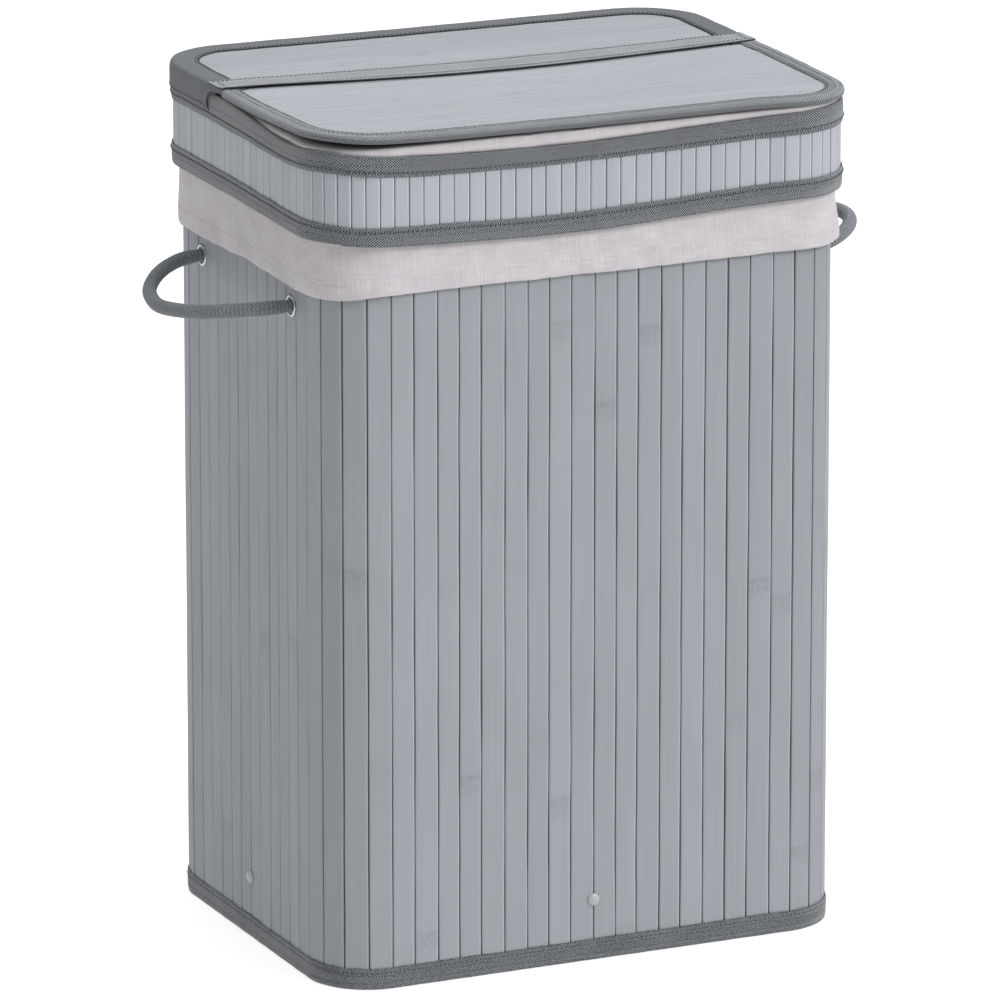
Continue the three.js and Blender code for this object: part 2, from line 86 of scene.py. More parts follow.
# ---- camera
AZIMUTH, ELEVATION = math.radians(-24.544), math.radians(15.556)
CAMERA_AT = (-2.6939, -5.8900, 2.0977)
level = math.cos(ELEVATION)
back = Vector((math.sin(AZIMUTH) * level, -math.cos(AZIMUTH) * level, math.sin(ELEVATION)))
right = Vector((math.cos(AZIMUTH), math.sin(AZIMUTH), 0))
turn = Matrix((right, back.cross(right), back)).transposed().to_4x4()
camera_data = bpy.data.cameras.new("camera")
camera_data.sensor_width = 36
camera_data.lens = 345.4
camera_data.clip_end = 60
camera = add("camera", camera_data)
camera.matrix_world = Matrix.Translation(Vector(CAMERA_AT)) @ turn
scene.camera = camera

# ---- ring path round the body
# half lengths of the flat walls, and the length of one round corner
FLAT_W, FLAT_D, QUARTER = HALF_W - CORNER, HALF_D - CORNER, CORNER * math.pi / 2
# anticlockwise from the middle of the front wall: length, then start, direction and outward direction of
# a flat wall, or centre and first angle of a round corner
SEGMENTS = [
    (FLAT_W, (0, -HALF_D), (1, 0), (0, -1)),
    (QUARTER, (FLAT_W, -FLAT_D), -90, None),
    (2 * FLAT_D, (HALF_W, -FLAT_D), (0, 1), (1, 0)),
    (QUARTER, (FLAT_W, FLAT_D), 0, None),
    (2 * FLAT_W, (FLAT_W, HALF_D), (-1, 0), (0, 1)),
    (QUARTER, (-FLAT_W, FLAT_D), 90, None),
    (2 * FLAT_D, (-HALF_W, FLAT_D), (0, -1), (-1, 0)),
    (QUARTER, (-FLAT_W, -FLAT_D), 180, None),
    (FLAT_W, (-FLAT_W, -HALF_D), (1, 0), (0, -1)),
]
STARTS = np.cumsum([0] + [seg[0] for seg in SEGMENTS])
RING = STARTS[-1]
# distance along the ring of the middle of each side wall
MID_RIGHT, MID_LEFT = STARTS[2] + FLAT_D, STARTS[6] + FLAT_D


def ring(s):
    """Point and outward direction on the body face at distance s from the middle of the front wall."""
    s = np.mod(np.atleast_1d(np.asarray(s, float)), RING)
    p, n = np.zeros((len(s), 2)), np.zeros((len(s), 2))
    for start, (length, at, way, out) in zip(STARTS, SEGMENTS):
        k = (s >= start) & (s <= start + length)
        t = s[k] - start
        if out:
            p[k] = np.array(at) + t[:, None] * np.array(way)
            n[k] = out
        else:
            a = math.radians(way) + t / CORNER
            n[k] = np.stack([np.cos(a), np.sin(a)], 1)
            p[k] = np.array(at) + CORNER * n[k]
    return p, n


def place(s, o, z):
    """Points o outward from the body face at height z, for stations s (n) and o, z of shape (n, m)."""
    p, n = ring(s)
    o, z = np.broadcast_arrays(np.atleast_2d(o), np.atleast_2d(z))
    o = np.broadcast_to(o, (len(p), o.shape[1]))
    z = np.broadcast_to(z, o.shape)
    xy = p[:, None] + n[:, None] * o[..., None]
    return np.concatenate([xy, z[..., None]], 2)


def outward(s):
    """Level normals of the body face at stations s."""
    return np.c_[ring(s)[1], 0 * s]


def wave(x, seed, length, period=None):
    """Smooth wobble between about -1 and 1; with a period it closes on itself."""
    pick, out = random.Random(seed), 0.0
    for k, share in enumerate((1.0, 0.7, 0.5, 0.35)):
        f = (0.55 + 0.5 * k + 0.3 * pick.random()) / length
        if period:
            f = max(1, round(f * period)) / period
        out = out + share * np.sin(TAU * (f * np.asarray(x, float) + pick.random()))
    return out / 1.7


def step(x, a, b):
    """Smooth ramp from 0 at a to 1 at b."""
    t = np.clip((np.asarray(x, float) - a) / (b - a), 0, 1)
    return t * t * (3 - 2 * t)


def soften(points):
    """Cut the corners of a closed outline once, for the rolled edges of folded cloth."""
    p = np.array(points, float)
    q = np.roll(p, -1, 0)
    return np.stack([0.75 * p + 0.25 * q, 0.25 * p + 0.75 * q], 1).reshape(-1, 2)


def refine(points, longest, closed=True):
    """Add points until no side of the outline is much longer than asked."""
    p = [np.array(q, float) for q in points]
    out = []
    for i, a in enumerate(p):
        out.append(a)
        if not closed and i == len(p) - 1:
            break
        b = p[(i + 1) % len(p)]
        k = int(np.linalg.norm(b - a) // longest)
        out += [a + (b - a) * (j + 1) / (k + 1) for j in range(k)]
    return np.array(out)


def spaced(a, b, gap):
    """Even steps of about gap from a to b."""
    return np.linspace(a, b, max(2, int(round(abs(b - a) / gap)) + 1))


def run_along(points, closed=False):
    """Distance of each point from the first; a closed outline ends where it began."""
    sides = np.roll(points, -1, 0) - points if closed else np.diff(points, axis=0)
    return np.r_[0, np.cumsum(np.linalg.norm(sides, axis=1))]


def upto(n):
    return np.arange(n + 1, dtype=float)


def angles(n):
    return TAU * np.arange(n) / n


def unit(v):
    return v / np.linalg.norm(v, axis=1)[:, None]


def nearest(profile, o, z, weight=1):
    """Index of the profile point closest to (o, z)."""
    return int(np.argmin(weight * np.abs(profile[:, 0] - o) + np.abs(profile[:, 1] - z)))


# ---- mesh builder
class Build:
    """Collects grids of points into one mesh, with UVs in metres and two values per point.

    tone shifts a slat's colour, at random and as painted light, and paints shade into a rope's grooves;
    edge paints a highlight on a bevel or, below zero, a painted shadow on a cloth edge."""

    def __init__(self):
        self.verts, self.faces, self.uvs, self.mats = [], [], [], []
        self.tones, self.edges, self.count = [], [], 0

    def grid(self, P, U, V, wrap_i=False, wrap_j=False, caps_i=False, caps_j=False, mat=0,
             tone=0.0, edge=0.0):
        n, m = P.shape[:2]
        ni, nj = n - (not wrap_i), m - (not wrap_j)
        U, V = np.asarray(U, float), np.asarray(V, float)
        U = U[:, None] if U.ndim == 1 else U
        V = V[None, :] if V.ndim == 1 else V
        U, V = np.broadcast_to(U, (ni + 1, nj + 1)), np.broadcast_to(V, (ni + 1, nj + 1))
        i, j = [a.ravel() for a in np.meshgrid(np.arange(ni), np.arange(nj), indexing="ij")]
        ring_of = [(i, j), (i + 1, j), (i + 1, j + 1), (i, j + 1)]
        quads = np.stack([(a % n) * m + (c % m) for a, c in ring_of], 1) + self.count
        uv = np.stack([np.stack([U[a, c], V[a, c]], 1) for a, c in ring_of], 1)
        self.faces += quads.tolist()
        self.uvs.append(uv.reshape(-1, 2))
        self.mats += [mat] * len(quads)
        ends = []
        if caps_i:
            ends += [[(0, c) for c in range(m)], [(n - 1, c) for c in reversed(range(m))]]
        if caps_j:
            ends += [[(a, 0) for a in reversed(range(n))], [(a, m - 1) for a in range(n)]]
        for loop in ends:
            self.faces.append([a * m + c + self.count for a, c in loop])
            self.uvs.append(np.array([[U[a, c], V[a, c]] for a, c in loop]))
            self.mats.append(mat)
        self.verts.append(P.reshape(-1, 3))
        self.tones.append(np.broadcast_to(tone, (n, m)).reshape(-1))
        self.edges.append(np.broadcast_to(edge, (n, m)).reshape(-1))
        self.count += n * m

    def make(self, name, mats, body=None, replaces=(), crease=38):
        mesh = bpy.data.meshes.new(name)
        mesh.from_pydata((np.concatenate(self.verts) * MM).tolist(), [], self.faces)
        layer = mesh.uv_layers.new(name="UVMap")
        layer.data.foreach_set("uv", (np.concatenate(self.uvs) * MM).ravel())
        for key, values in (("tone", self.tones), ("edge", self.edges)):
            layer = mesh.attributes.new(key, "FLOAT", "POINT")
            layer.data.foreach_set("value", np.concatenate(values).astype(np.float32))
        mesh.polygons.foreach_set("material_index", self.mats)
        mesh.polygons.foreach_set("use_smooth", [True] * len(mesh.polygons))
        mesh.set_sharp_from_angle(angle=math.radians(crease))
        for m in mats:
            mesh.materials.append(m)
        obj = add(name, mesh)
        if body:
            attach(obj, body)
        if replaces:
            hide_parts(*replaces)
        return obj


def applied(obj):
    """Bake the modifiers of obj into its mesh."""
    graph = bpy.context.evaluated_depsgraph_get()
    mesh = bpy.data.meshes.new_from_object(obj.evaluated_get(graph))
    obj.modifiers.clear()
    obj.data = mesh


def flat_uv(P):
    """UVs of a plate seen from above, for a grid that wraps along i."""
    return [np.concatenate([P[..., k], P[:1, :, k]], 0) for k in (0, 1)]


def sweep(b, s, profile, edge=0, shift=None, deform=None, shade=0.0):
    """Closed profile of (out, z) points carried along stations s, or all the way round in steps of s.

    V runs from profile point edge."""
    closed = np.isscalar(s)
    s = spaced(0, RING, s)[:-1] if closed else s
    prof = np.asarray(profile, float)
    O = np.broadcast_to(prof[:, 0], (len(s), len(prof))).copy()
    Z = np.broadcast_to(prof[:, 1], O.shape).copy()
    if shift:
        O, Z = shift(s[:, None], O, Z)
    P = place(s, O, Z)
    if deform:
        P = deform(P)
    run = run_along(prof, closed=True)
    U = np.r_[s, s[0] + RING] if closed else s
    b.grid(P, U, np.abs(run - run[edge]), wrap_i=closed, wrap_j=True, caps_i=not closed, edge=shade)


def on_sweep(s, o, z, shift):
    """Line at (o, z) of a swept profile, moved as the profile is."""
    O, Z = shift(s[:, None], np.full((len(s), 1), o), np.full((len(s), 1), z))
    return place(s, O, Z)[:, 0]


THREAD_SIDES = 6
UP = (0, 0, 1.0)


def stitches(b, line, normal, pitch=3.4, share=0.7, r=0.28, lift=0.25):
    """Short sewn threads along a line lying on a surface with that normal, or those normals."""
    line = np.asarray(line, float)
    normal = np.broadcast_to(np.asarray(normal, float), line.shape)
    run = run_along(line)
    t = np.arange(pitch / 2, run[-1] - pitch, pitch)
    at = lambda q, a: np.stack([np.interp(q, run, a[:, k]) for k in range(3)], 1)
    A, B, N = at(t, line), at(t + pitch * share, line), at(t + pitch * share / 2, normal)
    N, T = unit(N), unit(B - A)
    S = np.cross(N, T)
    along = np.array([0, 0.1, 0.5, 0.9, 1])
    wide = np.array([0.25, 0.8, 1, 0.8, 0.25]) * r
    high = (np.array([-1.2, 0.0, 0.6, 0.0, -1.2]) * r) + lift * r
    ang = angles(THREAD_SIDES)
    for a, c, n, side in zip(A, B, N, S):
        mid = a + (c - a) * along[:, None] + n * high[:, None]
        across = side * np.cos(ang)[None, :, None] + n * np.sin(ang)[None, :, None]
        P = mid[:, None] + wide[:, None, None] * across
        b.grid(P[:, ::-1], along * 3, upto(THREAD_SIDES) * 0.4, wrap_j=True, caps_i=True, mat=1)


# ---- materials
def scaled(color, k):
    return tuple(min(1.0, c * k) for c in color[:3]) + (1.0,)


def principled(name, **fixed):
    mat = bpy.data.materials.new(name)
    mat.use_nodes = True
    bsdf = mat.node_tree.nodes["Principled BSDF"]
    for key, value in fixed.items():
        bsdf.inputs[key.replace("_", " ")].default_value = value
    return mat, bsdf


class Mat:
    """A Principled material, with short names for nodes. u and v are metres on the surface."""

    def __init__(self, name, **fixed):
        self.mat, self.bsdf = principled(name, **fixed)
        self.tree = self.mat.node_tree
        uv = self.node("ShaderNodeUVMap", uv_map="UVMap")
        split = self.node("ShaderNodeSeparateXYZ", {0: uv.outputs[0]})
        self.u, self.v = split.outputs[0], split.outputs[1]

    def node(self, kind, ins=None, **props):
        nd = self.tree.nodes.new(kind)
        for key, value in props.items():
            setattr(nd, key, value)
        for key, value in (ins or {}).items():
            if isinstance(value, bpy.types.NodeSocket):
                self.tree.links.new(value, nd.inputs[key])
            else:
                nd.inputs[key].default_value = value
        return nd

    def math(self, op, a, b=0.0, c=0.0):
        return self.node("ShaderNodeMath", {0: a, 1: b, 2: c}, operation=op).outputs[0]

    def times(self, a, b):
        return self.math("MULTIPLY", a, b)

    def size(self, a):
        return self.math("ABSOLUTE", a)

    def sum(self, *terms):
        """Sum of (socket, factor) pairs and plain numbers."""
        out = None
        for term in terms:
            s, k = term if isinstance(term, tuple) else (term, 1.0)
            out = self.times(s, k) if out is None else self.math("MULTIPLY_ADD", s, k, out)
        return out

    def cloud(self, vector, scale, detail, rough):
        ins = {"Vector": vector, "Scale": scale, "Detail": detail, "Roughness": rough}
        return self.node("ShaderNodeTexNoise", ins).outputs["Fac"]

    def noise(self, x, y, z=0.0, detail=2.0, rough=0.5):
        vector = self.node("ShaderNodeCombineXYZ", {0: x, 1: y, 2: z}).outputs[0]
        return self.cloud(vector, 1.0, detail, rough)

    def grain(self, u, v, z=0.0, detail=2.0, rough=0.5):
        """Noise over the surface, u and v times finer than a metre."""
        return self.noise(self.times(self.u, u), self.times(self.v, v), z, detail, rough)

    def spots(self, scale, detail=3.0, rough=0.5):
        """Noise through the solid, for a surface without a direction."""
        coord = self.node("ShaderNodeTexCoord").outputs["Object"]
        return self.cloud(coord, scale, detail, rough)

    def attr(self, name):
        return self.node("ShaderNodeAttribute", attribute_name=name).outputs["Fac"]

    def span(self, x, a, b, lo=0.0, hi=1.0):
        ins = {"Value": x, "From Min": a, "From Max": b, "To Min": lo, "To Max": hi}
        return self.node("ShaderNodeMapRange", ins, interpolation_type="SMOOTHSTEP").outputs["Result"]

    def mix(self, fac, a, b):
        # sockets 6 and 7 and output 2 of the Mix node are its colours
        nd = self.node("ShaderNodeMix", {0: fac, 6: a, 7: b}, data_type="RGBA", clamp_factor=True)
        return nd.outputs[2]

    def finish(self, color, height, depth, strength, rough=None):
        self.tree.links.new(color, self.bsdf.inputs["Base Color"])
        if rough is not None:
            self.tree.links.new(rough, self.bsdf.inputs["Roughness"])
        bump = self.node("ShaderNodeBump", {"Height": height, "Strength": strength, "Distance": depth})
        self.tree.links.new(bump.outputs[0], self.bsdf.inputs["Normal"])
        return self.mat


def bamboo(name, color, node_every=0.34, marks=1.0):
    m = Mat(name, Roughness=0.65, Specular_IOR_Level=0.3)
    tone = m.attr("tone")
    grain = m.grain(520, 7, detail=3.0, rough=0.6)
    fine = m.grain(1900, 26, 3.1)
    patch = m.grain(30, 9, 7.7)
    # nodes of the cane: a soft cross band and a streaky stain by it, strong on some slats only
    drift = m.grain(110, 12, 1.3)
    lane = m.math("DIVIDE", m.sum(m.v, (drift, 0.003)), node_every)
    off = m.times(m.math("SUBTRACT", m.math("FRACT", lane), 0.5), node_every)
    which = m.noise(m.times(m.math("FLOOR", lane), 5.37), m.times(tone, 31.0), 2.2, detail=0.0)
    seen = m.span(which, 0.45, 0.70, 0.05, 1.0)
    band = m.times(m.span(m.size(off), 0.0002, 0.0022, 1.0, 0.0), seen)
    blot = m.span(m.grain(420, 260, 4.0, detail=4.0, rough=0.75), 0.36, 0.70)
    smear = m.span(m.size(m.sum(off, (drift, 0.008), 0.001)), 0.0, 0.014, 1.0, 0.0)
    stain = m.times(m.times(smear, seen), blot)
    # the edge attribute paints a highlight on the slats' right bevels: painted light
    f = m.sum((grain, 0.30), (fine, 0.14), (patch, 0.26), (tone, 0.14), (m.attr("edge"), 0.5),
              (band, -0.12 * marks), (stain, -0.40 * marks), 0.16)
    col = m.mix(f, scaled(color, 0.74), scaled(color, 1.26))
    height = m.sum((grain, 0.5), (fine, 0.35), (band, 0.9))
    return m.finish(col, height, 0.00025, 0.3, m.span(grain, 0.3, 0.7, 0.72, 0.60))


# width of one twill line and of the zones in which it changes direction, metres
TWILL_LINE, TWILL_ZONE = 0.0018, 0.0052


def painted_edge_shadow(m, col, color):
    """Points whose edge value is below zero are painted nearly black: a painted shadow along folded cloth
    edges and the gaps beside them.
    """
    return m.mix(m.times(m.attr("edge"), -1.0), col, scaled(color, 0.12))


def twill(name, color, contrast=1.3):
    m = Mat(name, Roughness=0.88, Sheen_Weight=0.5, Sheen_Roughness=0.35)
    bend = m.math("PINGPONG", m.v, TWILL_ZONE)
    phase = m.math("DIVIDE", m.sum(m.u, bend, (m.grain(90, 90, 0.5), 0.0006)), TWILL_LINE)
    rib = m.math("MULTIPLY_ADD", m.math("SINE", m.times(phase, TAU)), 0.5, 0.5)
    middle = TWILL_ZONE / 2
    seam = m.span(m.size(m.math("SUBTRACT", bend, middle)), middle - 0.0006, middle)
    fuzz = m.grain(620, 900, 2.0, detail=3.0, rough=0.7)
    wear = m.grain(14, 14, 8.0, detail=3.0)
    f = m.sum((rib, contrast), (fuzz, 2.1), (wear, 0.4), (seam, -0.2), -0.75 - contrast / 2)
    col = m.mix(f, scaled(color, 0.03), scaled(color, 2.0))
    return m.finish(painted_edge_shadow(m, col, color), m.sum(rib, (fuzz, 0.6), (seam, -0.5)), 0.0006, 0.8)


def woven(name, color, pitch=0.0014):
    m = Mat(name, Roughness=0.9, Sheen_Weight=0.06, Sheen_Roughness=0.5)
    warp = m.math("SINE", m.times(m.u, TAU / pitch))
    weft = m.math("SINE", m.times(m.v, TAU / pitch))
    over = m.math("MULTIPLY_ADD", m.times(warp, weft), 0.5, 0.5)
    fuzz = m.grain(1300, 1300)
    wear = m.grain(17, 17, 5.0, detail=3.0)
    f = m.sum((over, 0.5), (fuzz, 0.5), (wear, 0.36), -0.18)
    col = m.mix(f, scaled(color, 0.5), scaled(color, 1.5))
    return m.finish(painted_edge_shadow(m, col, color), m.sum(over, (fuzz, 0.5)), 0.0003, 0.5)


def linen(name):
    m = Mat(name, Roughness=0.85, Sheen_Weight=0.1, Sheen_Roughness=0.4)
    warp, weft = m.grain(1050, 60, 1.0), m.grain(60, 1050, 2.0)
    slub_a = m.span(m.grain(700, 22, 3.0), 0.62, 0.74)
    slub_b = m.span(m.grain(22, 700, 4.0), 0.62, 0.74)
    blotch = m.grain(45, 60, 6.0, detail=3.0)
    tint = m.mix(m.span(blotch, 0.36, 0.64), (0.610, 0.572, 0.605, 1), (0.615, 0.592, 0.580, 1))
    f = m.sum((warp, 0.75), (weft, 0.75), (slub_a, 0.25), (slub_b, 0.25), (blotch, 0.7), -0.65)
    col = m.mix(f, (0.40, 0.378, 0.398, 1), tint)
    return m.finish(col, m.sum(warp, weft, (slub_a, 0.9), (slub_b, 0.9)), 0.0003, 0.6)


def braid(name, color):
    m = Mat(name, Roughness=0.9, Sheen_Weight=0.1, Sheen_Roughness=0.5)
    fibre = m.grain(900, 700, 1.0, detail=3.0)
    # painted shade: tone, the height of the strands, paints their crowns lighter and the grooves between
    # them darker
    f = m.sum((m.attr("tone"), 0.6), (fibre, 1.3), (m.grain(60, 60, 4.0), 0.2), -0.55)
    col = m.mix(f, scaled(color, 0.30), scaled(color, 1.7))
    return m.finish(col, fibre, 0.0003, 0.5)


def metal(name, color, rough):
    m = Mat(name, Metallic=1.0)
    spots = m.spots(900.0)
    col = m.mix(spots, scaled(color, 0.9), color)
    return m.finish(col, spots, 0.00005, 0.2, m.span(spots, 0.3, 0.7, rough * 0.8, rough * 1.3))


def coated(name, color):
    m = Mat(name, Coat_Weight=0.25, Coat_Roughness=0.3)
    spots = m.spots(700.0)
    col = m.mix(spots, scaled(color, 0.85), scaled(color, 1.15))
    return m.finish(col, spots, 0.0001, 0.3, m.span(spots, 0.3, 0.7, 0.3, 0.42))


def board(name, color):
    m = Mat(name, Roughness=0.75)
    fibre = m.spots(420.0, 4.0, 0.7)
    f = m.sum((fibre, 0.9), (m.spots(60.0, 2.0), 0.4), -0.15)
    return m.finish(m.mix(f, scaled(color, 0.7), scaled(color, 1.25)), fibre, 0.0003, 0.4)


SLAT_COLOR = (0.284, 0.297, 0.319, 1)
M_SLAT = bamboo("bamboo_wall", SLAT_COLOR)
M_BAND = bamboo("bamboo_band", scaled(SLAT_COLOR, 1.28), marks=0.5)
M_LID = bamboo("bamboo_lid", SLAT_COLOR, node_every=0.29)
M_TWILL = twill("twill_tape", (0.140, 0.149, 0.161, 1))
M_FOOT = twill("twill_foot", (0.125, 0.134, 0.147, 1), contrast=0.8)
# painted light: lighter copies of the tape twill for the top faces of the hinge ribbon and the flap
# binding, where the light falls
M_TWILL_PAINTED_LIT = twill("twill_top_painted_lit", (0.285, 0.301, 0.320, 1))
M_FLAP_TWILL_PAINTED_LIT = twill("twill_flap_painted_lit", (0.205, 0.217, 0.232, 1))
M_THREAD = woven("sewing_thread", (0.042, 0.045, 0.050, 1), pitch=0.0008)
M_LIGHT_THREAD = woven("linen_thread", (0.80, 0.77, 0.78, 1), pitch=0.0008)
M_BIND = woven("rear_binding_cloth", (0.120, 0.128, 0.139, 1))
M_BACK = woven("backing_cloth", (0.22, 0.23, 0.25, 1))
M_LINEN = linen("linen")
M_ROPE = braid("braided_rope", (0.150, 0.160, 0.173, 1))
M_STEEL = metal("nickel", (0.55, 0.55, 0.56, 1), 0.36)
M_RIVET = coated("painted_rivet", (0.36, 0.37, 0.39, 1))
M_BOARD = board("fibreboard", (0.1946, 0.1620, 0.1301, 1))

# ---- rope handles (the only cords)
ROPE_R, ROPE_AXIS, ROPE_SIDES = 5.0, 6.5, 60
# the loops stand out from the wall by their own stiffness: one droops, the other stands up a little
# sign of X, reach, rise along the loop, and seed of its wobble
LOOPS = {
    "left": (-1, 57.0, lambda a: -12.0 * np.sin(a) ** 1.5 * (1 + 0.55 * np.cos(a)), 5),
    "right": (1, 51.5, lambda a: 4.5 * np.sin(a) - 4.5 * np.sin(2 * a), 3),
}


def rope_points(reach, rise):
    """Centreline of the right handle, through one eyelet, the loop and the other eyelet; its length."""
    a = np.linspace(0, math.pi, 61)
    loop = np.stack([ROPE_AXIS + reach * np.sin(a) ** 0.95, EYELET_Y * np.cos(a), HANDLE_Z + rise(a)], 1)
    front = np.array([[o, EYELET_Y, HANDLE_Z] for o in (-4.5, -2.0, 1.0, 4.0)])
    rear = front[::-1] * np.array([1, -1, 1])
    pts = np.vstack([front, loop[2:-2], rear])
    for _ in range(2):
        pts[1:-1] = (pts[:-2] + 2 * pts[1:-1] + pts[2:]) / 4
    run = run_along(pts)
    t = np.linspace(0, run[-1], 340)
    return np.stack([np.interp(t, run, pts[:, k]) for k in range(3)], 1) + [HALF_W, 0, 0], run[-1]


for side, (sign, stand_off, rise, seed) in LOOPS.items():
    pts, length = rope_points(stand_off, rise)
    # a limp rope is never quite even
    t = np.linspace(0, 1, len(pts))
    hump = np.sin(math.pi * t)
    pts[:, 2] += hump * (0.5 * wave(t * 240, seed, 110))
    pts[:, 0] += hump * (0.6 * wave(t * 240, 8, 90))
    pts[:, 0] *= sign
    T = unit(np.gradient(pts, axis=0))
    A = unit(np.cross(T, UP))
    B = np.cross(T, A)
    ang = angles(ROPE_SIDES)
    s = t * length
    # the braid: two sets of five strands that wind opposite ways, once round in 27 mm
    turn = (s / 27.0 * TAU)[:, None]
    h1, h2 = np.cos(5 * (ang + turn)), np.cos(5 * (ang - turn))
    high = np.where(np.sin(10 * ang) > 0, np.abs(h1), np.abs(h2)) ** 1.5
    ends = np.minimum(s, length - s)[:, None]
    R = ROPE_R * (0.88 + 0.13 * high) * (1 - 0.12 * step(ends, 16, 6))
    around = A[:, None] * np.cos(ang)[None, :, None] + B[:, None] * np.sin(ang)[None, :, None]
    P = pts[:, None] + R[..., None] * around
    b = Build()
    # tone carries the strands' height, for the painted shade in the grooves
    b.grid(P[:, ::-1], s, upto(ROPE_SIDES) * (TAU * ROPE_R / ROPE_SIDES), wrap_j=True, caps_i=True,
           tone=high[:, ::-1])
    obj = b.make(f"{side}_rope", [M_ROPE], replaces=[f"{side}_rope_handle"], crease=80)
    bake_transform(obj)

# ---- floor, lights and world
floor_mesh = bpy.data.meshes.new("floor")
floor_mesh.from_pydata([(-30, -30, 0), (30, -30, 0), (30, 30, 0), (-30, 30, 0)], [], [(0, 1, 2, 3)])
floor = add("floor", floor_mesh)
floor.location.z = -0.0003
floor_mesh.materials.append(principled("floor", Base_Color=(0.35, 0.35, 0.35, 1), Roughness=0.9,
                                       Specular_IOR_Level=0.1, Emission_Color=(1, 1, 1, 1),
                                       Emission_Strength=0.78)[0])

world = bpy.data.worlds.new("studio")
scene.world = world
world.use_nodes = True
sky = world.node_tree.nodes["Background"]
sky.inputs[0].default_value = (0.97, 0.985, 1.0, 1)
sky.inputs[1].default_value = 0.19


def sun(name, toward, strength, angle):
    data = bpy.data.lights.new(name, "SUN")
    data.energy, data.angle = strength, math.radians(angle)
    add(name, data).rotation_euler = Vector(toward).to_track_quat("Z", "Y").to_euler()


sun("key", (0.47, -0.66, 0.56), 2.15, 24)
sun("left_fill", (-0.80, 0.20, 0.56), 0.28, 50)
sun("rear_fill", (0.30, 0.70, 0.65), 0.7, 50)
sun("overhead", (0.05, -0.05, 1.0), 1.85, 60)
view = scene.view_settings
view.view_transform, view.look = "Standard", "None"
view.exposure, view.gamma = 0.0, 1.0


# ---- slatted walls
def grain_start(seed):
    """A far-off place in the grain for each slat, millimetres."""
    return (seed % 997) * 41.0


def plank(b, s0, s1, z0, z1, face, thick, seed, gap, wobble=0.2, tone=0.0, chamfer=0.9, rise=None,
          every=22, glint=0.2):
    """One flat slat from s0 to s1 along the ring, standing from z0 to z1."""
    pick = random.Random(seed)
    mid, half = (s0 + s1) / 2, (s1 - s0) / 2 - gap / 2
    p, n = ring(mid)
    N = np.array([n[0][0], n[0][1], 0])
    T = np.array([-N[1], N[0], 0])
    z = spaced(z0, z1, every)
    half_left = half + wobble * wave(z, seed * 2 + 1, 150) + pick.uniform(-0.08, 0.08)
    half_right = half + wobble * wave(z, seed * 2 + 2, 150) + pick.uniform(-0.08, 0.08)
    c = chamfer
    # side, inset from that side and height over the face, from the left back edge to the right one
    section = [(-1, 0.1, -thick), (-1, 0.02, -0.75), (-1, 0.22 * c, -0.30), (-1, c, -0.02),
               (-1, half * 0.5, 0.05), (1, half * 0.5, 0.05), (1, c * 1.3 + 0.3, 0.0), (1, c * 1.1, -0.04),
               (1, 0.30 * c, -0.34), (1, 0.02, -0.8), (1, 0.1, -thick)]
    # painted highlight: the right bevel (points 7 and 8), facing the key light, gets the glint value, which
    # the bamboo material paints lighter
    bevel = (7, 8)
    out = face + pick.uniform(-0.18, 0.12)
    lean = math.tan(math.radians(pick.gauss(0, 0.4)))
    P = np.zeros((len(section), len(z), 3))
    U, E = np.zeros((len(section) + 1, 1)), np.zeros((len(section), 1))
    for i, (sgn, inset, o) in enumerate(section):
        t = (half_right - inset) if sgn > 0 else -(half_left - inset)
        oo = out + o + lean * t + 0.12 * wave(z, seed * 2 + 9, 240)
        zz = z if rise is None else z + np.array([rise(mid + a, h)[0] for a, h in zip(t, z)])
        P[i] = np.array([*p[0], 0]) + t[:, None] * T + oo[:, None] * N + zz[:, None] * np.array(UP)
        E[i] = glint if i in bevel else 0.0
        U[i] = t.mean() + half
    U[-1] = -thick
    b.grid(P, U + grain_start(seed), z + pick.uniform(0, 900), wrap_i=True, caps_j=True, tone=tone, edge=E)


FOOT_Z, TOP_Z = 1.2, 593.2
# start and end along the ring, and the number of slats
SLAT_RUNS = {"front": (STARTS[8], STARTS[8] + 2 * FLAT_W, 18)}
COUNTS = {"corner_front_right": 4, "right": 12, "corner_back_right": 4, "back": 18, "corner_back_left": 4,
          "left": 12, "corner_front_left": 4}
for i, (name, count) in enumerate(COUNTS.items(), 1):
    SLAT_RUNS[name] = (STARTS[i], STARTS[i + 1], count)


def slat_edges(a, b, count, seed, uneven=0.05):
    pick = random.Random(seed)
    widths = np.array([1 + pick.uniform(-uneven, uneven) for _ in range(count)])
    return a + np.r_[0, np.cumsum(widths / widths.sum() * (b - a))]


HOLE_R, HOLE_SIDES = 6.7, 40
holes = []
for end, y in (("front", -EYELET_Y), ("back", EYELET_Y)):
    cutter = Build()
    ang = angles(HOLE_SIDES)
    rod = [np.stack([np.full(HOLE_SIDES, x), y + HOLE_R * np.cos(ang), HANDLE_Z + HOLE_R * np.sin(ang)], 1)
           for x in (-260.0, 260.0)]
    cutter.grid(np.array(rod), upto(1), upto(HOLE_SIDES), wrap_j=True, caps_i=True)
    holes.append(cutter.make(f"drill_{end}", [M_SLAT]))


def pierce(obj):
    for cutter in holes:
        mod = obj.modifiers.new("hole", "BOOLEAN")
        mod.operation, mod.object, mod.solver = "DIFFERENCE", cutter, "EXACT"
    applied(obj)


